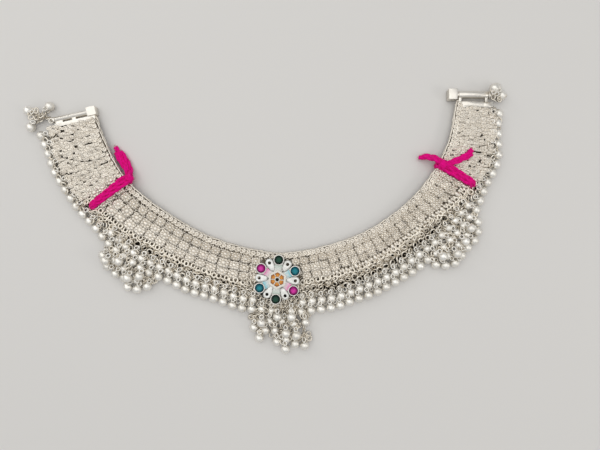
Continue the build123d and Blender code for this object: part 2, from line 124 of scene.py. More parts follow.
# %% Measure the band
band_tree = tree_of("chain_band")
net_tree = tree_of("fringe_net")
INSIDE_RADIUS, MIDDLE_RADIUS, OUTSIDE_RADIUS = 80, 98, 125
first_angle = last_hit(lambda a: plumb(band_tree, a, MIDDLE_RADIUS)[0], 0, -90)
last_angle = last_hit(lambda a: plumb(band_tree, a, MIDDLE_RADIUS)[0], 0, 90)
measured_at = np.linspace(first_angle + 0.4, last_angle - 1.6, 120)
inner_edge, outer_edge = (
    [last_hit(lambda r: plumb(band_tree, a, r)[0], MIDDLE_RADIUS, beyond) for a in measured_at]
    for beyond in (INSIDE_RADIUS, OUTSIDE_RADIUS)
)
print(f"band from {first_angle:.1f} to {last_angle:.1f} degrees,",
      f"{min(inner_edge):.1f} to {max(outer_edge):.1f} mm from the ankle's centre")


def edges(angle):
    """The radii of the band's inner and outer edge."""
    inner = float(np.interp(angle, measured_at, inner_edge))
    outer = float(np.interp(angle, measured_at, outer_edge))
    return inner, outer


def on_band(share):
    """The share of the band's width, kept just inside its edges."""
    return min(max(share, 0.05), 0.95)


def band_spot(angle, share, sink=0.0):
    """A point on the band's face at a share of its width, the way out and the way up.

    Just past an edge or an end the face is taken to go on level."""
    inner, outer = edges(angle)
    near = inner + (outer - inner) * on_band(share)
    here = place(angle, inner + (outer - inner) * share)
    for short_of in (0.0, 0.7, 1.4, 2.1):
        point, normal = plumb(band_tree, angle - math.copysign(short_of, angle), near)
        if point:
            return Vector((here.x, here.y, point.z - sink * MM)), outwards(angle), normal
    return None


# %% [markdown]
# ## Stamping one small shape many times
# A chain is the same link again and again. Each link could be an object of its own, but
# hundreds of objects are slow to handle. Here one small mesh, the pattern, is made first, in
# millimetres: x points out across the band, y along it and z off its face. Then a copy is
# set down at every seat, and all the copies are one mesh. Each point keeps two notes for the
# finish: hollow, how deep it lies in its pattern, which the finish paints dark with tarnish and
# painted shade, and tone, a little chance from link to link.

# %% Meshes and patterns
def mesh_of(shaped, name):
    """Empties a bmesh into a new mesh."""
    mesh = bpy.data.meshes.new(name)
    shaped.to_mesh(mesh)
    shaped.free()
    return mesh


def smooth_outside(shaped):
    """Turns the faces outwards and shades them smooth."""
    bmesh.ops.recalc_face_normals(shaped, faces=shaped.faces)
    for face in shaped.faces:
        face.smooth = True


def join(*shapes):
    """Several bmeshes in one."""
    whole, *others = shapes
    for other in others:
        carried = mesh_of(other, "carried")
        whole.from_mesh(carried)
        bpy.data.meshes.remove(carried)
    return whole


def as_pattern(shaped, name, deepest=1.0):
    """Keeps a small shape as a mesh, with a note of how deep each of its points lies, for painted shade and
    tarnish.
    """
    smooth_outside(shaped)
    heights = [vert.co.z for vert in shaped.verts]
    low, high = min(heights), max(heights)
    hollow = shaped.verts.layers.float.new("hollow")
    for vert in shaped.verts:
        vert[hollow] = deepest * (high - vert.co.z) / (high - low)
    return mesh_of(shaped, name)


# %% Seats and stamps
def turned(degrees, axis="Z", size=3):
    """The matrix of a turn."""
    return Matrix.Rotation(math.radians(degrees), size, axis)


def seat(spot, size=(1, 1, 1), turn=0.0, rise=0.0, roll=0.0, up=0.0):
    """The matrix that sets a pattern down.

    turn swings it on the face, rise lifts its outer end, and roll tips it sideways."""
    point, out, normal = spot
    across = (out - normal * out.dot(normal)).normalized()
    along = normal.cross(across)
    facing = Matrix((across, along, normal)).transposed().to_4x4()
    leaning = turned(turn, "Z", 4) @ turned(-rise, "Y", 4) @ turned(roll, "X", 4)
    raised = Matrix.Translation(point + normal * up * MM)
    return raised @ facing @ leaning @ Matrix.Diagonal((*size, 1)) @ Matrix.Scale(MM, 4)


def stamp(pattern, seats):
    """One bmesh with a copy of the pattern at every seat."""
    gathered = bmesh.new()
    tone = gathered.verts.layers.float.new("tone")
    for place_of_one in seats:
        copy = pattern.copy()
        copy.transform(place_of_one)
        gathered.from_mesh(copy)
        bpy.data.meshes.remove(copy)
    gathered.verts.ensure_lookup_table()
    each = len(pattern.vertices)
    for k in range(len(seats)):
        shade = chance.random()
        for vert in gathered.verts[k * each:(k + 1) * each]:
            vert[tone] = shade
    return gathered


# %% Make a piece
def in_scene(name, data):
    """A new object in the scene."""
    made = bpy.data.objects.new(name, data)
    bpy.context.scene.collection.objects.link(made)
    return made


def show(shaped, name, finish, body="anklet", replaces=(), crease=None):
    """Makes a piece of a bmesh: it gets its finish and rides on a body."""
    mesh = mesh_of(shaped, name)
    if crease:
        mesh.set_sharp_from_angle(angle=math.radians(crease))
    mesh.materials.append(finish)
    piece = in_scene(name, mesh)
    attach(piece, body)
    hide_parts(*replaces)
    print(f"{name}: {len(mesh.polygons)} faces on {body}")


# %% [markdown]
# ## The finishes
# All the metal is silver, but it doesn't look alike. The bells rub on everything and are the
# brightest. The weave's hollows are painted brown-black: partly the tarnish that stays where no
# cloth reaches, partly painted shade, as the hollows between the links lie in shade. The proud
# faces stay pale and slightly warm. So one maker of silver takes a colour, a shine and an amount
# of tarnish and painted shade. That darkening follows the note of depth and is broken up by noise.

# %% A finish's nodes
def finish_named(name):
    """A new material, a maker of its nodes, and a setter of its shader's inputs."""
    material = bpy.data.materials.new(name)
    material.use_nodes = True
    tree = material.node_tree

    def fill(target, inputs):
        for key, value in inputs.items():
            if isinstance(value, bpy.types.NodeSocket):
                tree.links.new(value, target.inputs[key])
            else:
                target.inputs[key].default_value = value

    def node(kind, inputs=None, **settings):
        made = tree.nodes.new("ShaderNode" + kind)
        for key, value in settings.items():
            setattr(made, key, value)
        fill(made, inputs or {})
        return made

    def shader(inputs):
        fill(tree.nodes["Principled BSDF"], inputs)

    return material, node, shader


def noise(node, scale, detail=2.0):
    """Even noise in the metal itself, scale bumps a metre."""
    where = node("TexCoord").outputs["Object"]
    return node("TexNoise", {"Vector": where, "Scale": scale, "Detail": detail}).outputs["Fac"]


def spread(node, value, start, end, low, high, ease=False):
    """A value's stretch from start to end, spread out from low to high."""
    inputs = {"Value": value, "From Min": start, "From Max": end, "To Min": low, "To Max": high}
    return node("MapRange", inputs, interpolation_type="SMOOTHSTEP" if ease else "LINEAR").outputs[0]


def drift(node, cloud, amount):
    """Noise as a small amount to either side of nought."""
    return spread(node, cloud, 0.3, 0.7, -amount, amount)


def added(node, first, second, clamp=False):
    """The sum of two values."""
    return node("Math", {0: first, 1: second}, operation="ADD", use_clamp=clamp).outputs[0]


def mixed(node, share, first, second):
    """One colour passing into another."""
    return node("Mix", {"Factor": share, 6: first, 7: second}, data_type="RGBA").outputs[2]


def bumps(node, height, strength, below=None):
    """Small bumps, at most 0.3 mm high, on top of others."""
    inputs = {"Height": height, "Strength": strength, "Distance": 0.3 * MM}
    if below:
        inputs["Normal"] = below
    return node("Bump", inputs).outputs[0]


# %% Silver
# Hollows are painted this colour: tarnish and painted shade together.
TARNISH_AND_SHADE = (0.050, 0.038, 0.026, 1)
AGED = (0.74, 0.71, 0.66)


def silver(name, colour, shine, tarnish_and_shade, scratch=0.05, dents=0.0):
    """shine is the roughness of its bright faces, tarnish_and_shade how dark its hollows are painted."""
    material, node, shader = finish_named(name)
    depth = node("Attribute", attribute_name="hollow").outputs["Fac"]
    tone = node("Attribute", attribute_name="tone").outputs["Fac"]
    cloud = noise(node, 700, 3)
    # Deep points are painted dark, with tarnish and painted shade, broken up by noise.
    dark = added(node, depth, drift(node, cloud, 0.22))
    tarnish_and_shade_share = spread(node, dark, 0.45, 1.0, 0.0, tarnish_and_shade, ease=True)
    shade = spread(node, tone, 0.0, 1.0, 0.0, 0.35)
    aged = tuple(c * k for c, k in zip(colour, AGED)) + (1,)
    pale = mixed(node, shade, (*colour, 1), aged)
    rough = spread(node, cloud, 0.3, 0.7, shine * 0.75, shine * 1.35)
    dull = node("Math", {0: tarnish_and_shade_share, 1: 0.35, 2: rough}, operation="MULTIPLY_ADD").outputs[0]
    dented = bumps(node, noise(node, 1900, 1), dents) if dents else None
    scratched = bumps(node, noise(node, 3800, 2), scratch, dented)
    shader({"Base Color": mixed(node, tarnish_and_shade_share, pale, TARNISH_AND_SHADE), "Metallic": 1.0,
            "Roughness": dull, "Normal": scratched})
    return material


woven_silver = silver("woven_silver", (0.79, 0.735, 0.65), 0.36, 0.72, 0.14, 0.22)
# Near-black for the chain under the weave: tarnish and painted shade.
under_shade_silver = silver("under_shade_silver", (0.16, 0.13, 0.095), 0.50, 0.50, 0.30)
# Near-black for the sheet under the net: painted shade in the net's gaps.
net_shade_black = silver("net_shade_black", (0.024, 0.019, 0.014), 0.60, 0.50, 0.30)
ring_silver = silver("ring_silver", (0.85, 0.79, 0.69), 0.34, 0.85)
# A darker copy of ring_silver for the lower net rings: tarnish and painted shade.
shaded_net_silver = silver("shaded_net_silver", (0.66, 0.60, 0.51), 0.36, 0.95)
bell_silver = silver("bell_silver", (0.93, 0.90, 0.84), 0.45, 0.85, 0.03)
clasp_silver = silver("clasp_silver", (0.78, 0.74, 0.67), 0.33, 0.60, 0.10, 0.08)
setting_silver = silver("setting_silver", (0.60, 0.58, 0.54), 0.36, 0.60, 0.10)
frosted_silver = silver("frosted_silver", (0.88, 0.88, 0.85), 0.60, 0.80, 0.10)
print("materials so far:", len(bpy.data.materials))

# %% Wool
pink_wool, node, shader = finish_named("pink_wool")
dyed = mixed(node, noise(node, 900, 3), (0.50, 0.0, 0.12, 1), (1.0, 0.0, 0.31, 1))
shader({"Base Color": dyed, "Normal": bumps(node, noise(node, 6000, 2), 0.5), "Roughness": 0.9,
        "Specular IOR Level": 0.2, "Sheen Weight": 0.18, "Sheen Roughness": 0.4,
        "Sheen Tint": (1.0, 0.35, 0.75, 1)})
print("wool:", pink_wool.name)


# %% [markdown]
# ## The camera, the table and the light
# The payal is looked at from straight above, the way it is laid out on a counter. The table
# is plain and pale. Silver shows what is round it more than its own colour, so the light is a
# few large soft panels with darker room left between them: that gives each small bead one
# bright side and one grey side.

# %% Table
TABLE_REACH = 1.5

table = bmesh.new()
bmesh.ops.create_grid(table, x_segments=1, y_segments=1, size=TABLE_REACH)
table_top = in_scene("table_top", mesh_of(table, "table_top"))
pale_table, _, shader = finish_named("pale_table")
shader({"Base Color": (0.66, 0.64, 0.61, 1), "Roughness": 0.75})
table_top.data.materials.append(pale_table)
print("table:", 2 * TABLE_REACH, "m square")

# %% Camera
VIEW_POINT = Vector((0.01727, -0.00335, 0.0025))
VIEW_HEIGHT = 0.240
VIEW_WIDTH = 0.294
SENSOR = 36.0

camera = in_scene("camera", bpy.data.cameras.new("camera"))
camera.location = VIEW_POINT + UP * VIEW_HEIGHT
camera.data.sensor_width = SENSOR
camera.data.lens = SENSOR * VIEW_HEIGHT / VIEW_WIDTH
camera.data.clip_start = 0.01
bpy.context.scene.camera = camera
print("camera", round(camera.data.lens, 2), "mm lens")

# %% Lights
Panel = namedtuple("Panel", "name position size power colour")
PANELS = (
    Panel("sky_panel", (-0.12, 0.16, 0.80), 1.30, 4.6, (1.0, 0.995, 0.98)),
    Panel("window_panel", (-0.55, 0.48, 0.40), 0.20, 0.48, (1.0, 0.99, 0.97)),
    Panel("side_panel", (0.60, -0.15, 0.38), 0.16, 0.45, (1.0, 0.97, 0.93)),
)
for panel in PANELS:
    light = bpy.data.lights.new(panel.name, "AREA")
    light.size = panel.size
    light.energy = panel.power
    light.color = panel.colour
    lamp = in_scene(panel.name, light)
    lamp.location = panel.position
    lamp.rotation_euler = (-lamp.location).to_track_quat("-Z", "Y").to_euler()

room = bpy.data.worlds.new("room")
room.use_nodes = True
air = room.node_tree.nodes["Background"]
air.inputs["Color"].default_value = (0.95, 0.97, 1.0, 1)
air.inputs["Strength"].default_value = 0.54
bpy.context.scene.world = room
bpy.context.scene.view_settings.view_transform = "Standard"
print("lights:", [panel.name for panel in PANELS])


# %% [markdown]
# ## The band: what lies under the links
# Between the links of a real band there is more chain, black with age and lying in shade. It
# could be modelled link by link, but nobody sees it. A thin curved strip just below the links
# stands for it, painted near-black for that chain's tarnish and for the shade between the
# links, and it keeps light from shining up through the gaps.

# %% Under-weave
STRIP_SINK = 1.05
STRIP_THICK = 1.15
STRIP_MARGIN = 0.035
END_MARGIN = 0.25


def end_angles(share):
    """The angles of the band's two ends at a share of its width. They aren't quite square to it."""
    ends = []
    for inside, outside in ((-70, -90), (70, 90)):
        inner, outer = edges(inside)
        radius = inner + (outer - inner) * on_band(share)
        ends.append(last_hit(lambda a: plumb(band_tree, a, radius)[0], inside, outside))
    return ends


strip = bmesh.new()
bmesh.ops.create_grid(strip, x_segments=8, y_segments=150, size=1)
for vert in strip.verts:
    share = STRIP_MARGIN + (vert.co.x + 1) / 2 * (1 - 2 * STRIP_MARGIN)
    first, last = end_angles(share)
    angle = first + END_MARGIN + (vert.co.y + 1) / 2 * (last - first - 2 * END_MARGIN)
    spot = band_spot(angle, share) or band_spot(min(max(angle, first_angle), last_angle), share)
    vert.co = spot[0] - UP * STRIP_SINK * MM
bmesh.ops.recalc_face_normals(strip, faces=strip.faces)
if sum(face.normal.z for face in strip.faces) < 0:
    bmesh.ops.reverse_faces(strip, faces=strip.faces)
bmesh.ops.solidify(strip, geom=strip.faces[:], thickness=STRIP_THICK * MM)
show(strip, "under_weave", under_shade_silver, replaces=["chain_band"])


# %% [markdown]
# ## Links and beads
# A wire link is a small circle spun round into a ring and then pulled longer, as a jeweller
# pulls a round jump ring into an oval. A bead is a squashed ball. Both stay coarse: each is
# a few millimetres long, and there are hundreds of them.

# %% Link and bead patterns
def ring_shape(length, width, wire, steps=12, sides=6, flat=1.0):
    """A closed ring that lies flat: length along x, width along y, both outside to outside."""
    shaped = bmesh.new()
    radius = (min(length, width) - wire) / 2
    bmesh.ops.create_circle(shaped, segments=sides, radius=wire / 2)
    bmesh.ops.rotate(shaped, verts=shaped.verts, cent=(0, 0, 0), matrix=turned(90, "X"))
    bmesh.ops.translate(shaped, verts=shaped.verts, vec=(radius, 0, 0))
    bmesh.ops.spin(shaped, geom=shaped.verts[:] + shaped.edges[:], cent=(0, 0, 0), axis=(0, 0, 1),
                   angle=2 * math.pi, steps=steps, use_merge=True)
    pull = Vector((max(length - width, 0), max(width - length, 0), 0)) / 2
    for vert in shaped.verts:
        ahead = vert.co.dot(pull)
        if abs(ahead) > 1e-4:
            vert.co += pull if ahead > 0 else -pull
    bmesh.ops.scale(shaped, verts=shaped.verts, vec=(1, 1, flat))
    return shaped


def bead_shape(length, width, height, around=10, levels=6):
    """A squashed ball."""
    shaped = bmesh.new()
    bmesh.ops.create_uvsphere(shaped, u_segments=around, v_segments=levels, radius=0.5)
    bmesh.ops.scale(shaped, verts=shaped.verts, vec=(length, width, height))
    return shaped


def moved(shaped, offset=(0, 0, 0), turn=0.0, axis="Z"):
    """The same shape, turned about the middle and then moved."""
    bmesh.ops.rotate(shaped, verts=shaped.verts, cent=(0, 0, 0), matrix=turned(turn, axis))
    bmesh.ops.translate(shaped, verts=shaped.verts, vec=offset)
    return shaped


LEFT_PITCH, RIGHT_PITCH = 3.10, 2.76
LEFT_ARM, RIGHT_ARM = -56.0, 61.0
RIBBED_FROM = 14.0


def pitch_at(angle):
    """How many degrees one column of links takes. The weave is tighter on the right."""
    return LEFT_PITCH if angle < 0 else RIGHT_PITCH


def stepped(share_of_pitch=1.0, shift=0.0):
    """Angles along the whole band, a share of a column apart."""
    left_step, right_step = LEFT_PITCH * share_of_pitch, RIGHT_PITCH * share_of_pitch
    left = np.arange(-shift * LEFT_PITCH, first_angle, -left_step)[::-1]
    right = np.arange((share_of_pitch - shift) * RIGHT_PITCH, last_angle + 0.4, right_step)
    return np.concatenate([left, right])


columns = stepped()
between = stepped(shift=0.5)
flower_middle = sum(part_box("hub_enamel"), Vector()) / 2
FLOWER_REACH, FLOWER_COVERS = 12.4, 9.6
PATTERN_WIDTH = 17.0


def under_flower(spot, reach=FLOWER_REACH):
    """Whether a spot lies under the flower."""
    return (spot[0] - flower_middle).to_2d().length < reach * MM


def wobble(amount):
    """A small chance amount to either side of nought."""
    return chance.uniform(-amount, amount)


def row_seats(angles, share, size=(1, 1, 1), turn=0.0, rise=0.0, roll=0.0, sink=0.0, loose=1.0, stretch=True):
    """Seats along the band at a share of its width. A wide stretch of band has longer shapes."""
    seats = []
    for angle in angles:
        spot = band_spot(angle + wobble(0.10) * loose, share + wobble(0.007) * loose, sink)
        if spot is None or under_flower(spot, FLOWER_COVERS):
            continue
        inner, outer = edges(angle)
        wide = (outer - inner) / PATTERN_WIDTH if stretch else 1.0
        broad = pitch_at(angle) / LEFT_PITCH if stretch else 1.0
        low = 0.5 if under_flower(spot) else 0.0
        fat = 1 + wobble(0.04) * loose
        scale = size[0] * wide * fat, size[1] * broad * fat, size[2]
        seats.append(seat(spot, scale, turn + wobble(4) * loose, rise + wobble(4) * loose,
                          roll + wobble(5) * loose, up=wobble(0.07) * loose - low))
    return seats


# %% [markdown]
# ## The inner edge
# The edge that lies against the leg is a plain curb chain, two flat oval links to a column,
# each lapped over the next, so that the edge is finely scalloped. Longer links lie below it
# and give the edge its thickness.

# %% Cushions, and the edge links
def cushion_shape(length, width, height, square=0.72, around=14, levels=8):
    """A ball squashed to a rounded oblong and cut flat underneath."""
    shaped = bmesh.new()
    bmesh.ops.create_uvsphere(shaped, u_segments=around, v_segments=levels, radius=1)
    everything = shaped.verts[:] + shaped.edges[:] + shaped.faces[:]
    bmesh.ops.bisect_plane(shaped, geom=everything, plane_co=(0, 0, -0.35), plane_no=(0, 0, 1),
                           clear_inner=True)
    for vert in shaped.verts:
        x, y, z = vert.co
        x, y = (math.copysign(abs(c) ** square, c) for c in (x, y))
        vert.co = (x * length / 2, y * width / 2, z * height)
    return shaped


curb_shape = join(ring_shape(2.5, 3.75, 0.98, steps=12, flat=0.85),
                  cushion_shape(0.95, 2.0, 0.40, 0.85, 8, 6))
curb_link = as_pattern(curb_shape, "curb_link", 0.9)
edge_link = as_pattern(ring_shape(2.1, 6.0, 0.9, steps=12), "edge_link", 0.6)
CURB_SHARE, EDGE_SHARE = 0.09, 0.035
curb_seats = row_seats(stepped(0.5), CURB_SHARE, turn=24, rise=4, roll=12, sink=0.10, loose=1.4,
                       stretch=False)
curb_links = stamp(curb_link, curb_seats)
edge_links = stamp(edge_link, row_seats(between, EDGE_SHARE, turn=4, sink=0.75, stretch=False)
                   + row_seats(columns, EDGE_SHARE, turn=4, sink=1.9, stretch=False))
show(join(curb_links, edge_links), "edge_links", woven_silver)

# %% [markdown]
# ## The plates
# Each column of the weave is a row of small stamped rosettes: a dome in a ring of grains on
# a thin plate. The one near the inner edge is proud, and two flatter ones follow, lapped like
# roof tiles. Towards the right arm the lower two are bundles of grains instead, and a long
# bright grain closes the column. Small links hinge each plate to the next, so the dark below
# shows only as fine lines and dots.

# %% Rosettes
def rosette_shape(length, width, height, grains=8):
    """A thin plate that carries a dome in a ring of grains."""
    shaped = cushion_shape(length, width, height * 0.55, 0.66)
    shaped = join(shaped, moved(cushion_shape(length * 0.50, width * 0.46, height, 0.9, 10, 6), (0, 0, 0.10)))
    for k in range(grains):
        turn = 2 * math.pi * (k + 0.5) / grains
        spot = math.cos(turn) * length * 0.335, math.sin(turn) * width * 0.345, 0.05
        one_grain = cushion_shape(length * 0.34, width * 0.32, height * 0.86, 0.9, 8, 6)
        shaped = join(shaped, moved(one_grain, spot))
    return shaped


proud_rosette = as_pattern(rosette_shape(4.1, 5.2, 1.15), "proud_rosette", 1.0)
low_rosette = as_pattern(rosette_shape(3.5, 5.2, 0.95), "low_rosette", 1.0)
flat_rosette = as_pattern(rosette_shape(4.35, 5.3, 0.80), "flat_rosette", 0.95)
PROUD_SHARE, LOW_SHARE, FLAT_SHARES = 0.285, 0.215, (0.765, 0.53)
middle_columns = [a for a in columns if LEFT_ARM < a < RIGHT_ARM]
smooth_columns = [a for a in middle_columns if a < RIBBED_FROM]
ribbed_columns = [a for a in middle_columns if a >= RIBBED_FROM]
proud = stamp(proud_rosette, row_seats(smooth_columns, PROUD_SHARE, rise=4, sink=0.10, loose=1.2))
low = stamp(low_rosette, row_seats(ribbed_columns, LOW_SHARE, (1, 1.07, 1), rise=4, sink=0.30, loose=1.2))
show(join(proud, low), "rosettes", woven_silver)
flat_seats = [s for share in FLAT_SHARES
              for s in row_seats(smooth_columns, share, (1.08, 1.04, 1), rise=9, sink=0.28, loose=1.4)]
show(stamp(flat_rosette, flat_seats), "flat_rosettes", woven_silver)

# %% Hinge links
hinge_link = as_pattern(ring_shape(1.9, 1.8, 0.62, steps=8, sides=5), "hinge_link", 0.9)
HINGE_SHARES = (0.175, 0.235, 0.335, 0.40, 0.46, 0.585, 0.645, 0.70, 0.82, 0.875)
COLUMN_SHARES = (0.165, 0.40, 0.65, 0.875)
hinge_angles = [a for a in between if LEFT_ARM < a < RIGHT_ARM]
hinge_seats = []
for share in HINGE_SHARES:
    hinge_seats += row_seats(hinge_angles, share, turn=wobble(40), rise=wobble(20), sink=0.45, loose=3,
                             stretch=False)
for share in COLUMN_SHARES:
    hinge_seats += row_seats(middle_columns, share, rise=wobble(20), sink=0.45, loose=3, stretch=False)
show(stamp(hinge_link, hinge_seats), "hinge_links", woven_silver)

# %% Grain bundles
GRAIN_STEP, RIB_STEP, RIB_SLIP = 1.42, 1.62, 0.25
BUNDLE_SHARES = (0.655, 0.42)


def bundle_shape():
    """Nine grains on a thin plate, in three slanting ribs."""
    shaped = cushion_shape(4.3, 5.1, 0.32, 0.6)
    for rib in (-1, 0, 1):
        for grain in (-1, 0, 1):
            spot = grain * GRAIN_STEP + rib * RIB_SLIP, rib * RIB_STEP, 0.05
            shaped = join(shaped, moved(cushion_shape(1.85, 1.38, 0.98, 0.9, 8, 6), spot, turn=24))
    return moved(shaped, turn=7)


bundle = as_pattern(bundle_shape(), "bundle", 1.0)
bundle_seats = [s for share in BUNDLE_SHARES
                for s in row_seats(ribbed_columns, share, (1.08, 1.06, 1), rise=7, sink=0.20, loose=1.8)]
show(stamp(bundle, bundle_seats), "grain_bundles", woven_silver)

# %% Long grains
end_grain = as_pattern(bead_shape(3.5, 2.5, 1.8, 10, 6), "end_grain", 0.8)
side_grain = as_pattern(bead_shape(2.9, 1.9, 1.5, 8, 5), "side_grain", 0.9)
GRAIN_SHARE, GRAIN_ASIDE = 0.86, RIGHT_PITCH * 0.38
right_angles = np.array(ribbed_columns)
end_grains = stamp(end_grain, row_seats(right_angles, GRAIN_SHARE, sink=0.15))
side_grains = stamp(side_grain, row_seats(right_angles + GRAIN_ASIDE, GRAIN_SHARE, turn=12, sink=0.35)
                    + row_seats(right_angles - GRAIN_ASIDE, GRAIN_SHARE, turn=-12, sink=0.35))
show(join(end_grains, side_grains), "end_grains", woven_silver)

# %% [markdown]
# ## The arms
# Past the ties the weave changes to slanting ears, as on a stalk of wheat: an oval loop of
# wire, hammered down on a grain until only two fine grooves stay open. The rows are lapped
# half an ear on the next and reach out over the net. Here and there an ear is missing, which
# leaves the dark dots of the weave, and the ones beside it stand a little proud. The right
# arm closes with a smooth rounded bar, soldered along the plate of the clasp.

# %% Ears on both arms
def ear_shape():
    """A small oval loop with a grain in it."""
    loop = ring_shape(3.15, 1.8, 0.72, steps=10, sides=5, flat=0.95)
    return join(loop, cushion_shape(2.0, 0.95, 0.58, 0.85, 8, 6))


Arm = namedtuple("Arm", "end from_share rows slant past")
ARMS = (Arm("left", 0.17, 11, -8, 0.0), Arm("right", 0.19, 10, 28, 0.2))
EAR_LONG, EAR_PITCH = 1.95, 1.28
EARS_A_COLUMN, EARS_MISSING = 4, 0.10
ear = as_pattern(ear_shape(), "ear", 0.95)
ear_seats = []
for arm in ARMS:
    for row in range(arm.rows):
        near_tie = LEFT_ARM if arm.end == "left" else RIGHT_ARM
        inner, outer = edges(near_tie)
        share = arm.from_share + EAR_LONG / (outer - inner) * row
        first, last = end_angles(min(share, 0.8))
        far_end = first - arm.past - max(0.0, share - 0.5) * 2.2 if arm.end == "left" else last + arm.past
        step = math.copysign(math.degrees(EAR_PITCH / (inner + share * (outer - inner))), far_end)
        for k, angle in enumerate(np.arange(near_tie + step / 2 * (row % 2), far_end, step)):
            beat = (k + 2 * row) % EARS_A_COLUMN
            if beat == 0 and chance.random() < EARS_MISSING:
                continue
            size = chance.uniform(0.88, 1.15), chance.uniform(0.9, 1.15), 1
            sink = wobble(0.15) - (0.15 if beat == 2 else 0.0) - max(0.0, share - 0.93) * 3.0
            ear_seats += row_seats([angle], share, size, turn=arm.slant, rise=10, sink=sink,
                                   loose=3.4, stretch=False)
show(stamp(ear, ear_seats), "ears", woven_silver)

# %% The bar that closes the right arm
swelling = moved(cushion_shape(5.4, 3.4, 1.75, 0.6, 16, 8), (5.1, 0, 0))
bar = join(cushion_shape(15.8, 3.3, 1.6, 0.42, 28, 8), swelling)
bar_shape = as_pattern(bar, "bar_shape", 0.6)
bar_spot = Vector((103.2, 55.35, 3.0)) * MM, Vector((1, 0, 0)), UP
show(stamp(bar_shape, [seat(bar_spot, turn=-4)]), "closing_bar", clasp_silver)

# %% [markdown]
# ## The hem of the band
# The band ends in rows of small round rings, standing half upright. The dark dots along the
# hem are the holes of these rings.

# %% Hem rings
hem_ring = as_pattern(ring_shape(3.2, 3.0, 1.0, steps=10), "hem_ring", 0.9)
HemRow = namedtuple("HemRow", "pitch shift share turn rise sink")
HEM_ROWS = (
    HemRow(0.5, 0.0, 0.94, 12, 14, 0.1),
    HemRow(0.5, 0.25, 1.035, -25, -14, 0.4),
    HemRow(1.0, 0.0, 1.11, 30, 20, 0.95),
)
hem_seats = []
for row in HEM_ROWS:
    hem_angles = [a for a in stepped(row.pitch, row.shift) if LEFT_ARM < a < RIGHT_ARM]
    hem_seats += row_seats(hem_angles, row.share, turn=row.turn, rise=row.rise, sink=row.sink, loose=3,
                           stretch=False)
side_seats = row_seats(stepped(0.5), 1.0, (0.85, 1, 1), rise=70, sink=1.1, loose=2.0, stretch=False)
show(stamp(hem_ring, hem_seats + side_seats), "hem_rings", ring_silver)


# %% [markdown]
# ## The net that carries the bells
# From the hem hangs a narrow mesh of rings. Small rings fill it, darker than the rings above
# them for tarnish and painted shade, over a near-black sheet of painted shade. Over them lie
# large curled rings, one row lapped on another like fish scales, which carry the bells.

# %% Net rings
def net_spot(angle, radius, up=0.0):
    """A point on the net's face, the way out and the way up."""
    point, normal = plumb(net_tree, angle, radius)
    if point is None:
        return None
    return point + UP * up * MM, outwards(angle), normal


NET_ROWS, NET_FROM = 14, 104.5
NET_PITCH, NET_LAP = 2.5, 0.86
OPEN_FROM, OPEN_TO = 106.0, 111.0
OPEN_NET = ((-90, 0, 0.78), (0, 21, 0.35), (21, 90, 0.0))


def left_open(angle, radius):
    """Whether chance leaves a ring out here. The net is torn open most on the left."""
    share = next(share for low, high, share in OPEN_NET if low <= angle < high)
    return OPEN_FROM < radius < OPEN_TO and chance.random() < share


net_ring = as_pattern(ring_shape(3.1, 2.8, 0.66, steps=10, sides=5), "net_ring", 0.9)
net_seats = []
for k in range(NET_ROWS):
    radius = NET_FROM + k * NET_PITCH * NET_LAP
    step = math.degrees(NET_PITCH / radius)
    for angle in np.arange(first_angle, last_angle + 2, step):
        spot = net_spot(angle + step / 2 * (k % 2), radius, -0.2)
        if spot and not left_open(angle, radius):
            lean = 28 if k % 2 else -28
            net_seats.append(seat(spot, turn=wobble(40), rise=lean + wobble(12), roll=wobble(15)))
# The net's solid, lowered under the rings and painted near-black: the shade in the net's gaps.
net_skin = bmesh.new()
net_skin.from_mesh(frame["nodes"]["fringe_net"].data)
bmesh.ops.remove_doubles(net_skin, verts=net_skin.verts, dist=MM / 100)
bmesh.ops.translate(net_skin, verts=net_skin.verts, vec=(0, 0, -0.25 * MM))
show(stamp(net_ring, net_seats), "net_rings", shaded_net_silver)
show(net_skin, "net_backing", net_shade_black, replaces=["fringe_net"])

# %% Curled rings
CURL_PITCH = 1.85
CurlRow = namedtuple("CurlRow", "shift reach rise up")
CURL_ROWS = (CurlRow(0.0, 2.6, -30, 0.0), CurlRow(0.5, 5.2, -36, 0.2))
NARROW_FROM, NARROWER_BY = 21, 0.9
NET_RIM, CURLS_CLEAR = 1.2, 12.0
curl = as_pattern(ring_shape(4.4, 4.0, 0.85, steps=14), "curl", 0.75)
curl_seats = []
for row in CURL_ROWS:
    for angle in np.arange(first_angle + 1 + row.shift * CURL_PITCH, last_angle, CURL_PITCH):
        out_by = row.reach - (NARROWER_BY if angle > NARROW_FROM else 0.0)
        outer = edges(angle)[1]
        spot = net_spot(angle, outer + NET_RIM, up=1.1)
        if spot is None or under_flower(spot, CURLS_CLEAR):
            continue
        out = outwards(angle)
        shifted = spot[0] + out * (out_by - NET_RIM + wobble(0.5)) * MM, out, UP
        size = chance.uniform(0.75, 1.05), chance.uniform(0.7, 1.0), 1
        curl_seats.append(seat(shifted, size, wobble(45), row.rise + wobble(20), wobble(25), up=row.up))
show(stamp(curl, curl_seats), "curled_rings", ring_silver)


# %% [markdown]
# ## The bells
# A ghungroo is a hollow silver ball with a slit, hung by a small loop. Here the solids say
# where each ball is. Most points of a loose shell are on its small loop, so the point furthest
# from their average is the ball's far side. From there a ball is fitted, and the point that
# lies furthest from the ball is the tip of the loop. A lighter ball of my own is stamped in
# the same place. Its slit is a strip of faces pushed inwards.

# %% Find the balls and loops
BELL_RADIUS = 2.25
Bell = namedtuple("Bell", "middle tip")


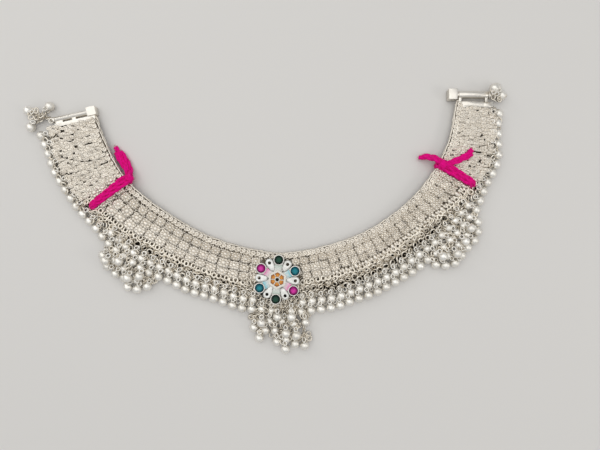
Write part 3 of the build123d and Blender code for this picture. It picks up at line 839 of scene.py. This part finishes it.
def shells(node):
    """The points of each loose shell of a solid, as arrays in mm."""
    merged = bmesh.new()
    merged.from_mesh(frame["nodes"][node].data)
    bmesh.ops.remove_doubles(merged, verts=merged.verts, dist=MM / 1000)
    unseen = set(merged.verts)
    found = []
    while unseen:
        edge_of_walk = [unseen.pop()]
        shell = []
        while edge_of_walk:
            vert = edge_of_walk.pop()
            shell.append(vert.co / MM)
            for link in vert.link_edges:
                other = link.other_vert(vert)
                if other in unseen:
                    unseen.remove(other)
                    edge_of_walk.append(other)
        found.append(np.array(shell))
    merged.free()
    return found


def fitted_bell(points):
    """The ball's middle and the loop's tip, from a shell's points, or None for a plain ring."""
    if np.ptp(points, axis=0).min() < 2 * BELL_RADIUS - 0.2:
        return None
    heart = points.mean(axis=0)
    far_side = points[np.argmax(np.linalg.norm(points - heart, axis=1))]
    inward = (heart - far_side) / np.linalg.norm(heart - far_side)
    middle = far_side + inward * BELL_RADIUS
    for _ in range(5):
        near = points[abs(np.linalg.norm(points - middle, axis=1) - BELL_RADIUS) < 0.25]
        sums = np.c_[2 * near, np.ones(len(near))]
        middle = np.linalg.lstsq(sums, (near ** 2).sum(axis=1), rcond=None)[0][:3]
    tip = points[np.argmax(np.linalg.norm(points - middle, axis=1))]
    return Bell(Vector(middle), Vector(tip))


DROP_NODES = ("drop_bells_left", "drop_bells_centre", "drop_bells_right")
PIN_BUNCHES = {"end_bunch_left": "left_pin", "end_bunch_right": "right_pin"}
BELL_NODES = ("fringe_bells_left", "fringe_bells_right", *DROP_NODES, *PIN_BUNCHES)
bells = {}
for node_name in BELL_NODES:
    fitted = [fitted_bell(points) for points in shells(node_name)]
    bells[node_name] = sorted((b for b in fitted if b), key=lambda b: (round(b.middle.x, 2), b.middle.y))
    print(node_name, len(bells[node_name]), "bells")


# %% Shape a bell
def bell_shape():
    """A ball with a slit on its -x side, a collar and a loop on its +x side."""
    ball = bmesh.new()
    bmesh.ops.create_uvsphere(ball, u_segments=16, v_segments=9, radius=BELL_RADIUS)
    slit = [face for face in ball.faces
            if abs(face.calc_center_median().z) < 0.1 and face.calc_center_median().x < -1.0]
    bmesh.ops.inset_region(ball, faces=slit, thickness=0.12, use_even_offset=True)
    bmesh.ops.inset_region(ball, faces=slit, thickness=0.05, depth=-0.55, use_even_offset=True)
    deep = {vert for face in slit for vert in face.verts}
    # The slit's sunken faces are painted dark: the shade inside the hollow ball, with tarnish.
    slit_shade = ball.verts.layers.float.new("hollow")
    for vert in ball.verts:
        vert[slit_shade] = 1.0 if vert in deep else 0.0
    collar = moved(ring_shape(1.5, 1.5, 0.4, steps=8, sides=5), (0, 0, 0), 90, "Y")
    bmesh.ops.translate(collar, verts=collar.verts, vec=(BELL_RADIUS - 0.05, 0, 0))
    loop = moved(ring_shape(1.95, 1.95, 0.48, steps=10, sides=5), (0, 0, 0), 90, "X")
    bmesh.ops.translate(loop, verts=loop.verts, vec=(BELL_RADIUS + 0.5, 0, 0))
    whole = join(ball, collar, loop)
    smooth_outside(whole)
    return mesh_of(whole, "bell")


def sideways(along):
    """The level direction square to a loop's, or +y where the loop stands upright."""
    across = UP.cross(along)
    return across.normalized() if across.length > 0.1 else Vector((0, 1, 0))


def bell_seat(bell, roll):
    """The matrix that sets the bell down with its loop where the solid's loop is."""
    along = (bell.tip - bell.middle).normalized()
    side = sideways(along)
    facing = Matrix((along, side, along.cross(side))).transposed().to_4x4()
    return Matrix.Translation(bell.middle * MM) @ facing @ turned(roll, "X", 4) @ Matrix.Scale(MM, 4)


bell_pattern = bell_shape()
hang_ring = as_pattern(ring_shape(2.6, 2.3, 0.55, steps=10), "hang_ring", 0.6)
print("one bell:", len(bell_pattern.polygons), "faces")

# %% Hang the bells
FringeRing = namedtuple("FringeRing", "swing reach height")
FRINGE_RINGS = (FringeRing(1.25, -2.4, 2.2), FringeRing(0.3, -3.6, 3.4))
for node_name, group in bells.items():
    body = PIN_BUNCHES.get(node_name, "anklet")
    seats = [bell_seat(bell, 90 * (k % 2)) for k, bell in enumerate(group)]
    hung = stamp(bell_pattern, seats)
    rings = []
    if node_name.startswith("fringe"):
        for bell in group:
            angle, radius = angle_and_radius(bell.middle * MM)
            for ring in FRINGE_RINGS:
                here = place(angle + ring.swing, radius + ring.reach, ring.height + wobble(0.5))
                spot = here, outwards(angle), UP
                rings.append(seat(spot, turn=wobble(60), rise=-25 + wobble(25), roll=wobble(35)))
    for k, bell in enumerate(group):
        along = (bell.tip - bell.middle).normalized()
        if along.z > 0.4:
            inward = -outwards(angle_and_radius(bell.tip * MM)[0])
            beside = bell.tip * MM + (inward * 0.8 - UP * 0.6) * MM, inward, UP
            rings.append(seat(beside, turn=wobble(30), rise=-14 + wobble(8), roll=wobble(18)))
            continue
        middle = bell.tip * MM + along * 0.75 * MM
        quarter = turned(90 * ((k + 1) % 2) + wobble(20), along)
        rings.append(seat((middle, along, quarter @ sideways(along))))
    piece_name = node_name.replace("bells", "ghungroo").replace("bunch", "ghungroo")
    show(join(hung, stamp(hang_ring, rings)), piece_name, bell_silver, body,
         replaces=[node_name])


# %% [markdown]
# ## Chains of the longer bunches
# In three places more bells hang from short chains. A chain isn't stiff: it lies on whatever
# is under it. So its links go along a straight line as seen from above, each at the height
# where a plumb line first meets a bell, the net or the band, and turned a quarter on the last.

# %% Strands
pile_tree = tree_of("chain_band", "fringe_net", *BELL_NODES)
strand_link = as_pattern(ring_shape(2.6, 1.9, 0.58, steps=10, sides=5), "strand_link", 0.8)
LINK_STEP, LINK_LIFT = 1.65, 0.35
ON_A_BELL = 3.6
STRANDS_FROM = 5.5
drop_bells = [bell for node_name in DROP_NODES for bell in bells[node_name]]


def pile_height(here, bare):
    """The height in mm at which a plumb line meets the pile, or else the bare one."""
    above, _, _, _ = pile_tree.ray_cast(Vector((here.x, here.y, PLUMB_FROM * MM)), -UP)
    return above.z / MM if above else bare


def strand(start, end):
    """Seats for links along a line, except where it lies on top of a bell."""
    line = end - start
    count = max(1, int(line.length / MM / LINK_STEP))
    seats = []
    for k in range(count):
        here = start + line * (k + 0.5) / count
        height = pile_height(here, 0.7)
        if height > ON_A_BELL:
            continue
        spot = Vector((here.x, here.y, (height + LINK_LIFT) * MM)), line.normalized(), UP
        seats.append(seat(spot, turn=wobble(14), roll=45 if k % 2 else -45, rise=wobble(10)))
    return seats


def level(point):
    """The same point at the table's height."""
    return Vector((point.x, point.y, 0))


strand_seats = []
for bell in drop_bells:
    angle, _ = angle_and_radius(bell.tip * MM)
    far = place(angle + wobble(1.2), edges(angle)[1] + STRANDS_FROM)
    strand_seats += strand(level(bell.tip * MM), level(far))
show(stamp(strand_link, strand_seats), "strands", ring_silver)

# %% Chains of the end bunches
RingHead = namedtuple("RingHead", "bunch body angle radius heart_angle heart_radius")
RING_HEADS = (
    RingHead("end_bunch_left", "left_pin", -77.5, 113.6, -79.2, 118.2),
    RingHead("end_bunch_right", "right_pin", 82.9, 106.2, 83.4, 107.4),
)
HEART_RINGS = 9
for head in RING_HEADS:
    out = outwards(head.angle)
    held_by = level(place(head.heart_angle, head.heart_radius))
    seats = strand(level(place(head.angle, head.radius)), held_by)
    seats += strand(level(place(head.angle, head.radius - 1.2)),
                    level(place(head.heart_angle, head.heart_radius - 1.0)))
    for bell in bells[head.bunch]:
        for side in (-0.9, 0.9):
            aside = out * side * MM
            seats += strand(level(bell.tip * MM) + aside, held_by + aside)
    for k in range(HEART_RINGS):
        swing = 2 * math.pi * k / HEART_RINGS
        aside = Vector((math.cos(swing), math.sin(swing), 0)) * chance.uniform(0.8, 3.0)
        heaped = aside + UP * chance.uniform(2.0, 4.0)
        spot = held_by + out * 1.5 * MM + heaped * MM, out, UP
        seats.append(seat(spot, (1.3, 1.3, 1), wobble(90), wobble(28), wobble(28)))
    show(stamp(strand_link, seats), head.bunch.replace("end_bunch", "bunch_chain"), ring_silver,
         head.body)

# %% Loose rings in the bunches and below the flower
def loose_ring(here):
    """A seat for a ring that lies askew on the pile, or none on top of a bell."""
    height = pile_height(here, 0.8)
    if height > ON_A_BELL:
        return []
    resting = Vector((here.x, here.y, (max(height, 1.2) + 0.4) * MM))
    spot = resting, outwards(angle_and_radius(here)[0]), UP
    size = chance.uniform(0.85, 1.25), chance.uniform(0.8, 1.15), 1.1
    return [seat(spot, size, wobble(60), wobble(30), wobble(30))]


RINGS_A_BELL = 8
FILL_ROWS, FILL_FROM, FILL_ROW_STEP = 7, 104.6, 1.75
FILL_FIRST, FILL_LAST, FILL_PITCH = -8.5, 9.5, 2.0
FILL_CLEAR = 11.6
fill_seats = []
for bell in drop_bells:
    outward = outwards(angle_and_radius(bell.tip * MM)[0])
    for _ in range(RINGS_A_BELL):
        aside = turned(wobble(80)) @ outward * -chance.uniform(1.0, 3.9)
        fill_seats += loose_ring(bell.tip * MM + aside * MM)
for k in range(FILL_ROWS):
    radius = FILL_FROM + FILL_ROW_STEP * k
    for angle in np.arange(FILL_FIRST, FILL_LAST, math.degrees(FILL_PITCH / radius)):
        here = place(angle + 0.5 * (k % 2) + wobble(0.25), radius + wobble(0.5))
        if under_flower((here,), FILL_CLEAR):
            continue
        fill_seats += loose_ring(here)
show(stamp(net_ring, fill_seats), "loose_rings", ring_silver)


# %% [markdown]
# ## The flower's finishes
# The flower is fired glass on silver. The stones are glass with foil behind them: they are
# deep at the rim, and the light the foil sends back through the middle is painted in as a
# paler colour there, a painted glow. The enamel in the hub is orange and lets light
# through, so it is darker where it is thick, at the outer end of each cell.

# %% Glass and enamel
def glow_from(node, middle, near, far):
    """0 near a point and 1 far from it, in mm."""
    where = node("TexCoord").outputs["Object"]
    apart = node("VectorMath", {0: where, 1: tuple(middle)}, operation="DISTANCE").outputs["Value"]
    return spread(node, apart, near * MM, far * MM, 0.0, 1.0, ease=True)


def glass(name, inside, outside, middle, near, far, rough=0.06, metal=0.0, ripple=900):
    """Clear-coated glass, of one colour round its middle and another away from it."""
    material, node, shader = finish_named(name)
    cloud = noise(node, ripple, 2)
    share = added(node, glow_from(node, middle, near, far), drift(node, cloud, 0.18), clamp=True)
    shader({"Base Color": mixed(node, share, (*inside, 1), (*outside, 1)), "Roughness": rough,
            "Metallic": metal, "Specular IOR Level": 0.15, "Coat Weight": 0.28,
            "Coat Roughness": 0.03, "Normal": bumps(node, cloud, 0.08)})
    return material


StoneGlass = namedtuple("StoneGlass", "node inside outside")
MAGENTA = ((0.66, 0.03, 0.34), (0.20, 0.0, 0.10))
TEAL = ((0.0, 0.21, 0.25), (0.0, 0.07, 0.10))
GREEN = ((0.0, 0.055, 0.028), (0.0, 0.012, 0.008))
STONES = (
    StoneGlass("stone_top", *GREEN), StoneGlass("stone_bottom", *GREEN),
    StoneGlass("stone_upper_right", *TEAL), StoneGlass("stone_lower_left", *TEAL),
    StoneGlass("stone_upper_left", *MAGENTA), StoneGlass("stone_lower_right", *MAGENTA),
)
# Each stone is painted paler in its middle: a painted glow of light from its foil.
for stone in STONES:
    low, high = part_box(stone.node)
    finish = glass(stone.node + "_glass", stone.inside, stone.outside, (low + high) / 2, 0.6, 2.2, metal=0.25)
    frame["nodes"][stone.node].material_slots[0].material = finish

hub_glass = glass("hub_glass", (0.80, 0.33, 0.04), (0.36, 0.10, 0.010), flower_middle, 1.7, 3.6,
                  rough=0.12, ripple=1300)
frame["nodes"]["hub_enamel"].material_slots[0].material = hub_glass
print("stones and cells:", len(STONES) + 1)


# %% [markdown]
# ## The flower's petals
# From the hub run twelve petals. Six go to the stones and take a tint of the stone's colour
# in white enamel. Six go to the lobes between them: domed, frosted, each with a round hole
# near its outer end. A petal starts as two circles, one for its outline and one for the hole.

# %% Lobe petals
flower_tree = tree_of("flower_setting", "petal_enamel")
stone_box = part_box("stone_top")
to_top = ((stone_box[0] + stone_box[1]) / 2 - flower_middle).to_2d().normalized().to_3d()
LOBE_RING, HOLE, LOBE = 8.8, 0.8, 2.1


def flower_spot(turn, distance, up=0.0):
    """A point on the flower at a turn from the top stone's direction, and the way outwards."""
    out = turned(turn) @ to_top
    above = flower_middle + out * distance * MM + UP * PLUMB_FROM * MM
    point, _, _, _ = flower_tree.ray_cast(above, -UP)
    height = point.z if point else flower_middle.z
    return Vector((above.x, above.y, height + up * MM)), out, UP


def lobe_petal_shape():
    """A domed petal with a hole near its outer end, drawn out towards the hub."""
    shaped = bmesh.new()
    bmesh.ops.create_circle(shaped, segments=24, radius=LOBE)
    bmesh.ops.create_circle(shaped, segments=24, radius=HOLE)
    bridged = bmesh.ops.bridge_loops(shaped, edges=shaped.edges[:])
    bmesh.ops.subdivide_edges(shaped, edges=bridged["edges"], cuts=4, use_grid_fill=True)
    for vert in shaped.verts:
        share = (vert.co.length - HOLE) / (LOBE - HOLE)
        slope = min(1.0, max(0.0, (1 - share) / 0.55))
        vert.co.z = 0.5 * math.sin(slope * math.pi / 2) * (0.8 + 0.2 * min(1.0, share * 3)) - 0.1
        if vert.co.x < 0:
            back = -vert.co.x / LOBE
            vert.co.y *= 1 - 0.22 * back
            vert.co.x *= 1 + 1.30 * max(0.0, share)
    return shaped


lobe_petal = as_pattern(lobe_petal_shape(), "lobe_petal", 0.95)
petal_seats = []
for k in range(6):
    point, out, up = flower_spot(30 + 60 * k, LOBE_RING - LOBE + 0.25)
    petal_seats.append(seat((point + out * (LOBE - 0.25) * MM, out, up), up=0.05))
show(stamp(lobe_petal, petal_seats), "lobe_petals", frosted_silver)

# %% Hub rim
white_enamel, node, shader = finish_named("white_enamel")
cloud = noise(node, 1500, 2)
milk = mixed(node, cloud, (0.80, 0.77, 0.69, 1), (0.62, 0.58, 0.50, 1))
shader({"Base Color": milk, "Normal": bumps(node, cloud, 0.15), "Roughness": 0.25, "Coat Weight": 0.6})
HUB_CORNER, CELL_CORNER, RIM_PROUD = 4.73, 3.55, 0.3

hub_rim = bmesh.new()
bmesh.ops.create_circle(hub_rim, segments=6, radius=HUB_CORNER)
bmesh.ops.create_circle(hub_rim, segments=6, radius=CELL_CORNER)
bmesh.ops.bridge_loops(hub_rim, edges=hub_rim.edges[:])
bmesh.ops.recalc_face_normals(hub_rim, faces=hub_rim.faces)
grown = bmesh.ops.extrude_face_region(hub_rim, geom=hub_rim.faces[:])["geom"]
raised = [part for part in grown if isinstance(part, bmesh.types.BMVert)]
bmesh.ops.translate(hub_rim, verts=raised, vec=(0, 0, RIM_PROUD))
top_edges = [edge for edge in hub_rim.edges
             if all(vert.co.z > RIM_PROUD / 2 for vert in edge.verts) and edge.calc_face_angle() > 0.5]
bmesh.ops.bevel(hub_rim, geom=top_edges, offset=0.16, affect="EDGES", segments=2, profile=0.5, material=-1)
hub_rim = moved(hub_rim, turn=30)
for k in range(6):
    spoke = moved(bead_shape(2.2, 0.5, 0.5, 8, 5), (2.35, 0, 0.1))
    hub_rim = join(hub_rim, moved(spoke, turn=30 + 60 * k))
hub_rim = join(hub_rim, moved(ring_shape(2.7, 2.7, 0.5, 16), (0, 0, 0.1)))
hub_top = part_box("hub_enamel")[1].z + RIM_PROUD * MM
rim_pattern = as_pattern(hub_rim, "hub_rim_shape", 0.3)
rim_spot = Vector((flower_middle.x, flower_middle.y, hub_top)), to_top, UP
show(stamp(rim_pattern, [seat(rim_spot)]), "hub_rim", white_enamel, crease=40)


# %% Tinted petals
def tint(name, colour):
    """White enamel that takes a stone's colour towards the stone."""
    material, node, shader = finish_named(name)
    near_stone = node("Attribute", attribute_name="tinted").outputs["Fac"]
    share = added(node, near_stone, drift(node, noise(node, 1100, 2), 0.2), clamp=True)
    enamel = mixed(node, share, (0.74, 0.72, 0.68, 1), (*colour, 1))
    shader({"Base Color": enamel, "Roughness": 0.2, "Coat Weight": 0.8})
    return material


PETAL_FROM, PETAL_LONG, PETAL_CROWN = 3.9, 3.1, 0.28
PETAL_HALF, PETAL_FLARE = 1.35, 0.55


def tinted_petal(turn):
    """A low crowned wedge from the hub to a stone."""
    shaped = bmesh.new()
    bmesh.ops.create_grid(shaped, x_segments=6, y_segments=6, size=1)
    tinted = shaped.verts.layers.float.new("tinted")
    for vert in shaped.verts:
        along, side = (vert.co.x + 1) / 2, vert.co.y
        vert[tinted] = along ** 1.3
        vert.co = (PETAL_FROM + PETAL_LONG * along, side * (PETAL_HALF + PETAL_FLARE * along),
                   PETAL_CROWN * (1 - side ** 2))
    bmesh.ops.solidify(shaped, geom=shaped.faces[:], thickness=0.7)
    point, out, up = flower_spot(turn, 5.6)
    middle = Vector((flower_middle.x, flower_middle.y, point.z))
    bmesh.ops.transform(shaped, verts=shaped.verts, matrix=seat((middle, out, up), up=-0.1))
    return shaped


pink_tint = tint("pink_tint", (0.75, 0.16, 0.42))
teal_tint = tint("teal_tint", (0.16, 0.52, 0.60))
pale_tint = tint("pale_tint", (0.42, 0.52, 0.44))
show(join(tinted_petal(60), tinted_petal(-120)), "pink_petals", pink_tint, crease=40)
show(join(tinted_petal(-60), tinted_petal(120)), "teal_petals", teal_tint, crease=40)
show(join(tinted_petal(0), tinted_petal(180)), "pale_petals", pale_tint,
     replaces=["petal_enamel"], crease=40)


# %% [markdown]
# ## The wool
# The pair was tied up with pink wool. Wool yarn is two plies twisted round each other, and
# short hairs stand off it. A ply is a circle carried along a path, a little at a time; a pair
# of plies goes round the yarn's own path like a screw. The yarn lies in turns round the band.

# %% Paths and plies
def smoothed(points, parts=8):
    """A path through the points that turns gently at each."""
    path = []
    ends = [points[0] * 2 - points[1], *points, points[-1] * 2 - points[-2]]
    for a, b, c, d in zip(ends, ends[1:], ends[2:], ends[3:]):
        for k in range(parts):
            t = k / parts
            path.append(0.5 * ((2 * b) + (c - a) * t + (2 * a - 5 * b + 4 * c - d) * t ** 2
                               + (3 * b - a - 3 * c + d) * t ** 3))
    return path + [points[-1]]


def frames_along(path):
    """A matrix at each point of a path, z along it, turned as little as can be."""
    frames = []
    ahead = (path[1] - path[0]).normalized()
    facing = ahead.to_track_quat("Z", "Y")
    for k, point in enumerate(path):
        heading = (path[min(k + 1, len(path) - 1)] - path[max(k - 1, 0)]).normalized()
        facing = ahead.rotation_difference(heading) @ facing
        ahead = heading
        frames.append(Matrix.Translation(point) @ facing.to_matrix().to_4x4())
    return frames


def ply(path, radius, sides=6):
    """A round thread along a path."""
    shaped = bmesh.new()
    frames = frames_along(path)
    bmesh.ops.create_circle(shaped, segments=sides, radius=radius, matrix=frames[0])
    rim = shaped.edges[:]
    for before, here in zip(frames, frames[1:]):
        grown = bmesh.ops.extrude_edge_only(shaped, edges=rim)["geom"]
        ring = {part for part in grown if isinstance(part, bmesh.types.BMVert)}
        bmesh.ops.transform(shaped, verts=list(ring), matrix=here @ before.inverted())
        rim = [part for part in grown if isinstance(part, bmesh.types.BMEdge) and set(part.verts) <= ring]
    bmesh.ops.holes_fill(shaped, edges=shaped.edges[:], sides=sides)
    smooth_outside(shaped)
    return shaped


YARN_TWIST = 9.0
PLY_OFFSET, PLY_RADIUS = 0.17, 0.34


def yarn(path, thick, phase=0.0):
    """Two plies round a path, thick across in mm."""
    frames = frames_along(path)
    travelled = 0.0
    sides = ([], [])
    for k, here in enumerate(frames):
        if k:
            travelled += (path[k] - path[k - 1]).length / MM
        swing = phase + 2 * math.pi * travelled / YARN_TWIST
        for side, half_turn in zip(sides, (0, math.pi)):
            aside = Vector((math.cos(swing + half_turn), math.sin(swing + half_turn), 0))
            side.append(here @ (aside * thick * PLY_OFFSET * MM))
    return join(*[ply(side, thick * PLY_RADIUS * MM) for side in sides])


# %% Ties
Tie = namedtuple("Tie", "node angle turns spread thick knot tails")
Step = namedtuple("Step", "across along up")
TIES = (
    Tie("wool_tie_left", -53.4, 3, 1.5, 2.0, Step(-1.6, 0.0, 5.2), (
        (Step(-1.6, 0.0, 5.0), Step(-3.2, -4.6, 3.0), Step(-3.6, -10.4, 1.5), Step(-4.6, -17.2, 1.4)),
        (Step(-1.6, 0.4, 5.0), Step(-2.4, -4.4, 3.6), Step(-2.3, -9.6, 2.2), Step(-2.9, -14.8, 1.6)),
        (Step(-2.0, 0.2, 4.0), Step(-4.2, -4.2, 1.8), Step(-5.2, -9.2, 1.4), Step(-5.2, -14.0, 1.4)),
    )),
    Tie("wool_tie_right", 59.6, 3, 1.65, 2.0, Step(1.4, 0.0, 7.0), (
        (Step(1.6, 0.0, 7.1), Step(-2.6, 0.4, 6.6), Step(-6.4, 0.0, 3.0), Step(-9.6, -1.6, 1.5)),
        (Step(1.6, 0.6, 7.0), Step(-2.2, 1.5, 6.2), Step(-5.6, 1.3, 3.4), Step(-8.2, -0.2, 2.0)),
        (Step(1.6, 0.0, 7.1), Step(4.6, 4.0, 6.9), Step(8.6, 9.6, 6.2), Step(10.2, 13.6, 6.0)),
        (Step(2.2, 0.0, 7.0), Step(5.8, 3.6, 6.6), Step(9.4, 8.6, 6.0), Step(11.2, 11.6, 6.0)),
    )),
)


def tie_point(tie, step):
    """A point beside a tie: across and along the band from its inner edge, and up."""
    out = outwards(tie.angle)
    inner, _ = edges(tie.angle)
    return place(tie.angle, inner + step.across, step.up) + UP.cross(out) * step.along * MM


TURN_SHARES = (0.06, 0.3, 0.5, 0.75, 0.94)
GATHER, HEAP = 0.42, 0.6


def turn_round(tie, offset):
    """The path of one turn of yarn round the band.

    Towards the outer edge the turns crowd together, and the middle one rides up."""
    inner, outer = edges(tie.angle)
    wide = outer - inner
    lie = tie.thick / 2 + 0.05
    heights = {}
    for share in TURN_SHARES:
        above, _ = plumb(band_tree, tie.angle, inner + wide * share)
        below, _, _, _ = band_tree.ray_cast(place(tie.angle, inner + wide * share, -PLUMB_FROM), UP)
        heights[share] = (above.z / MM + lie + 0.35, below.z / MM - lie + 0.25)
    heaped = HEAP if offset == 0 else 0.0
    over = [Step(wide * share, offset * (1.08 - GATHER * share), top + heaped * share)
            for share, (top, _) in heights.items()]
    under = [Step(wide * share, offset * 0.8, max(heights[share][1], lie)) for share in reversed(heights)]
    near = [Step(-lie * 0.8, offset, sum(heights[TURN_SHARES[0]]) / 2)]
    far = [Step(wide + lie * 0.8 + heaped, offset * 0.64, sum(heights[TURN_SHARES[-1]]) / 2)]
    loop = under[2:] + near + over + far + under[:3]
    return smoothed([tie_point(tie, step) for step in loop], 7)


# %% Tie the wool round the band
TAIL_FATNESS, HAIRS_A_POINT = 1.2, 7
WRAP_POINTS, POINTS_A_WRAP = 30, 10
KNOT_WIDE, KNOT_HIGH, WRAP_STEP = 1.5, 0.7, 0.085
fibre = bmesh.new()
bmesh.ops.create_cone(fibre, segments=3, radius1=0.07, radius2=0.02, depth=1.3, cap_ends=False)
fibre_pattern = as_pattern(fibre, "fibre", 0.5)
for tie in TIES:
    offsets = [tie.spread * (k - (tie.turns - 1) / 2) for k in range(tie.turns)]
    paths = [turn_round(tie, offset) for offset in offsets]
    paths += [smoothed([tie_point(tie, step) for step in tail], 9) for tail in tie.tails]
    heart = tie_point(tie, tie.knot)
    out = outwards(tie.angle)
    across = UP.cross(out)
    wraps = []
    for k in range(WRAP_POINTS):
        swing = 2 * math.pi * k / POINTS_A_WRAP
        aside = across * math.cos(swing) * KNOT_WIDE + UP * math.sin(swing) * KNOT_HIGH
        wraps.append(heart + aside * MM + out * (k - WRAP_POINTS / 2) * WRAP_STEP * MM)
    paths.append(wraps)
    fatness = [1.0] * tie.turns + [TAIL_FATNESS] * len(tie.tails) + [1.0]
    wool = join(*[yarn(path, tie.thick * fat, chance.random() * 6) for path, fat in zip(paths, fatness)])
    hairs = []
    for path in paths:
        for _ in range(len(path) * HAIRS_A_POINT):
            around = Vector((chance.gauss(0, 1), chance.gauss(0, 1), chance.gauss(0, 1))).normalized()
            point = chance.choice(path) + around * tie.thick * 0.46 * MM
            if point.z < 0.7 * MM:
                continue
            leaning = (around + Vector((wobble(1), wobble(1), wobble(1)))).normalized()
            lean = leaning.to_track_quat("Z", "Y").to_matrix().to_4x4()
            hairs.append(Matrix.Translation(point) @ lean @ Matrix.Scale(MM, 4))
    show(join(wool, stamp(fibre_pattern, hairs)), tie.node.replace("wool", "yarn"), pink_wool,
         replaces=[tie.node])


# %% [markdown]
# ## The soldered parts
# The clasp ends, the pins and the flower's setting are cut from plate and rod, soldered and
# filed. The solids have their true shape already, so nothing is modelled anew: a copy of each
# gets its sharp edges rounded over, because a filed edge catches a thin line of light.

# %% Round over the soldered parts
SHARP_EDGE, FLAT_EDGE = math.radians(40), math.radians(1.5)


def softened(node_name, width=0.18):
    """A copy of a solid with its sharp edges rounded over, as filing and wear leave them."""
    worn = bmesh.new()
    worn.from_mesh(frame["nodes"][node_name].data)
    bmesh.ops.remove_doubles(worn, verts=worn.verts, dist=MM / 200)
    bmesh.ops.dissolve_limit(worn, angle_limit=FLAT_EDGE, verts=worn.verts, edges=worn.edges)
    sharp = [edge for edge in worn.edges if edge.is_manifold and edge.calc_face_angle() > SHARP_EDGE]
    bmesh.ops.bevel(worn, geom=sharp, offset=width * MM, offset_type="OFFSET", affect="EDGES", segments=2,
                    profile=0.5, material=-1, clamp_overlap=True)
    smooth_outside(worn)
    return worn


Soldered = namedtuple("Soldered", "node body finish slot")
SOLDERED = (
    Soldered("clasp_end_left", "anklet", clasp_silver, "clasp_silver"),
    Soldered("clasp_end_right", "anklet", clasp_silver, "clasp_silver"),
    Soldered("screw_pin_left", "left_pin", clasp_silver, "clasp_silver"),
    Soldered("screw_pin_right", "right_pin", clasp_silver, "clasp_silver"),
    Soldered("flower_setting", "anklet", setting_silver, "clasp_silver"),
)
for part in SOLDERED:
    show(softened(part.node), part.node + "_worn", part.finish, part.body,
         replaces=[part.node], crease=35)
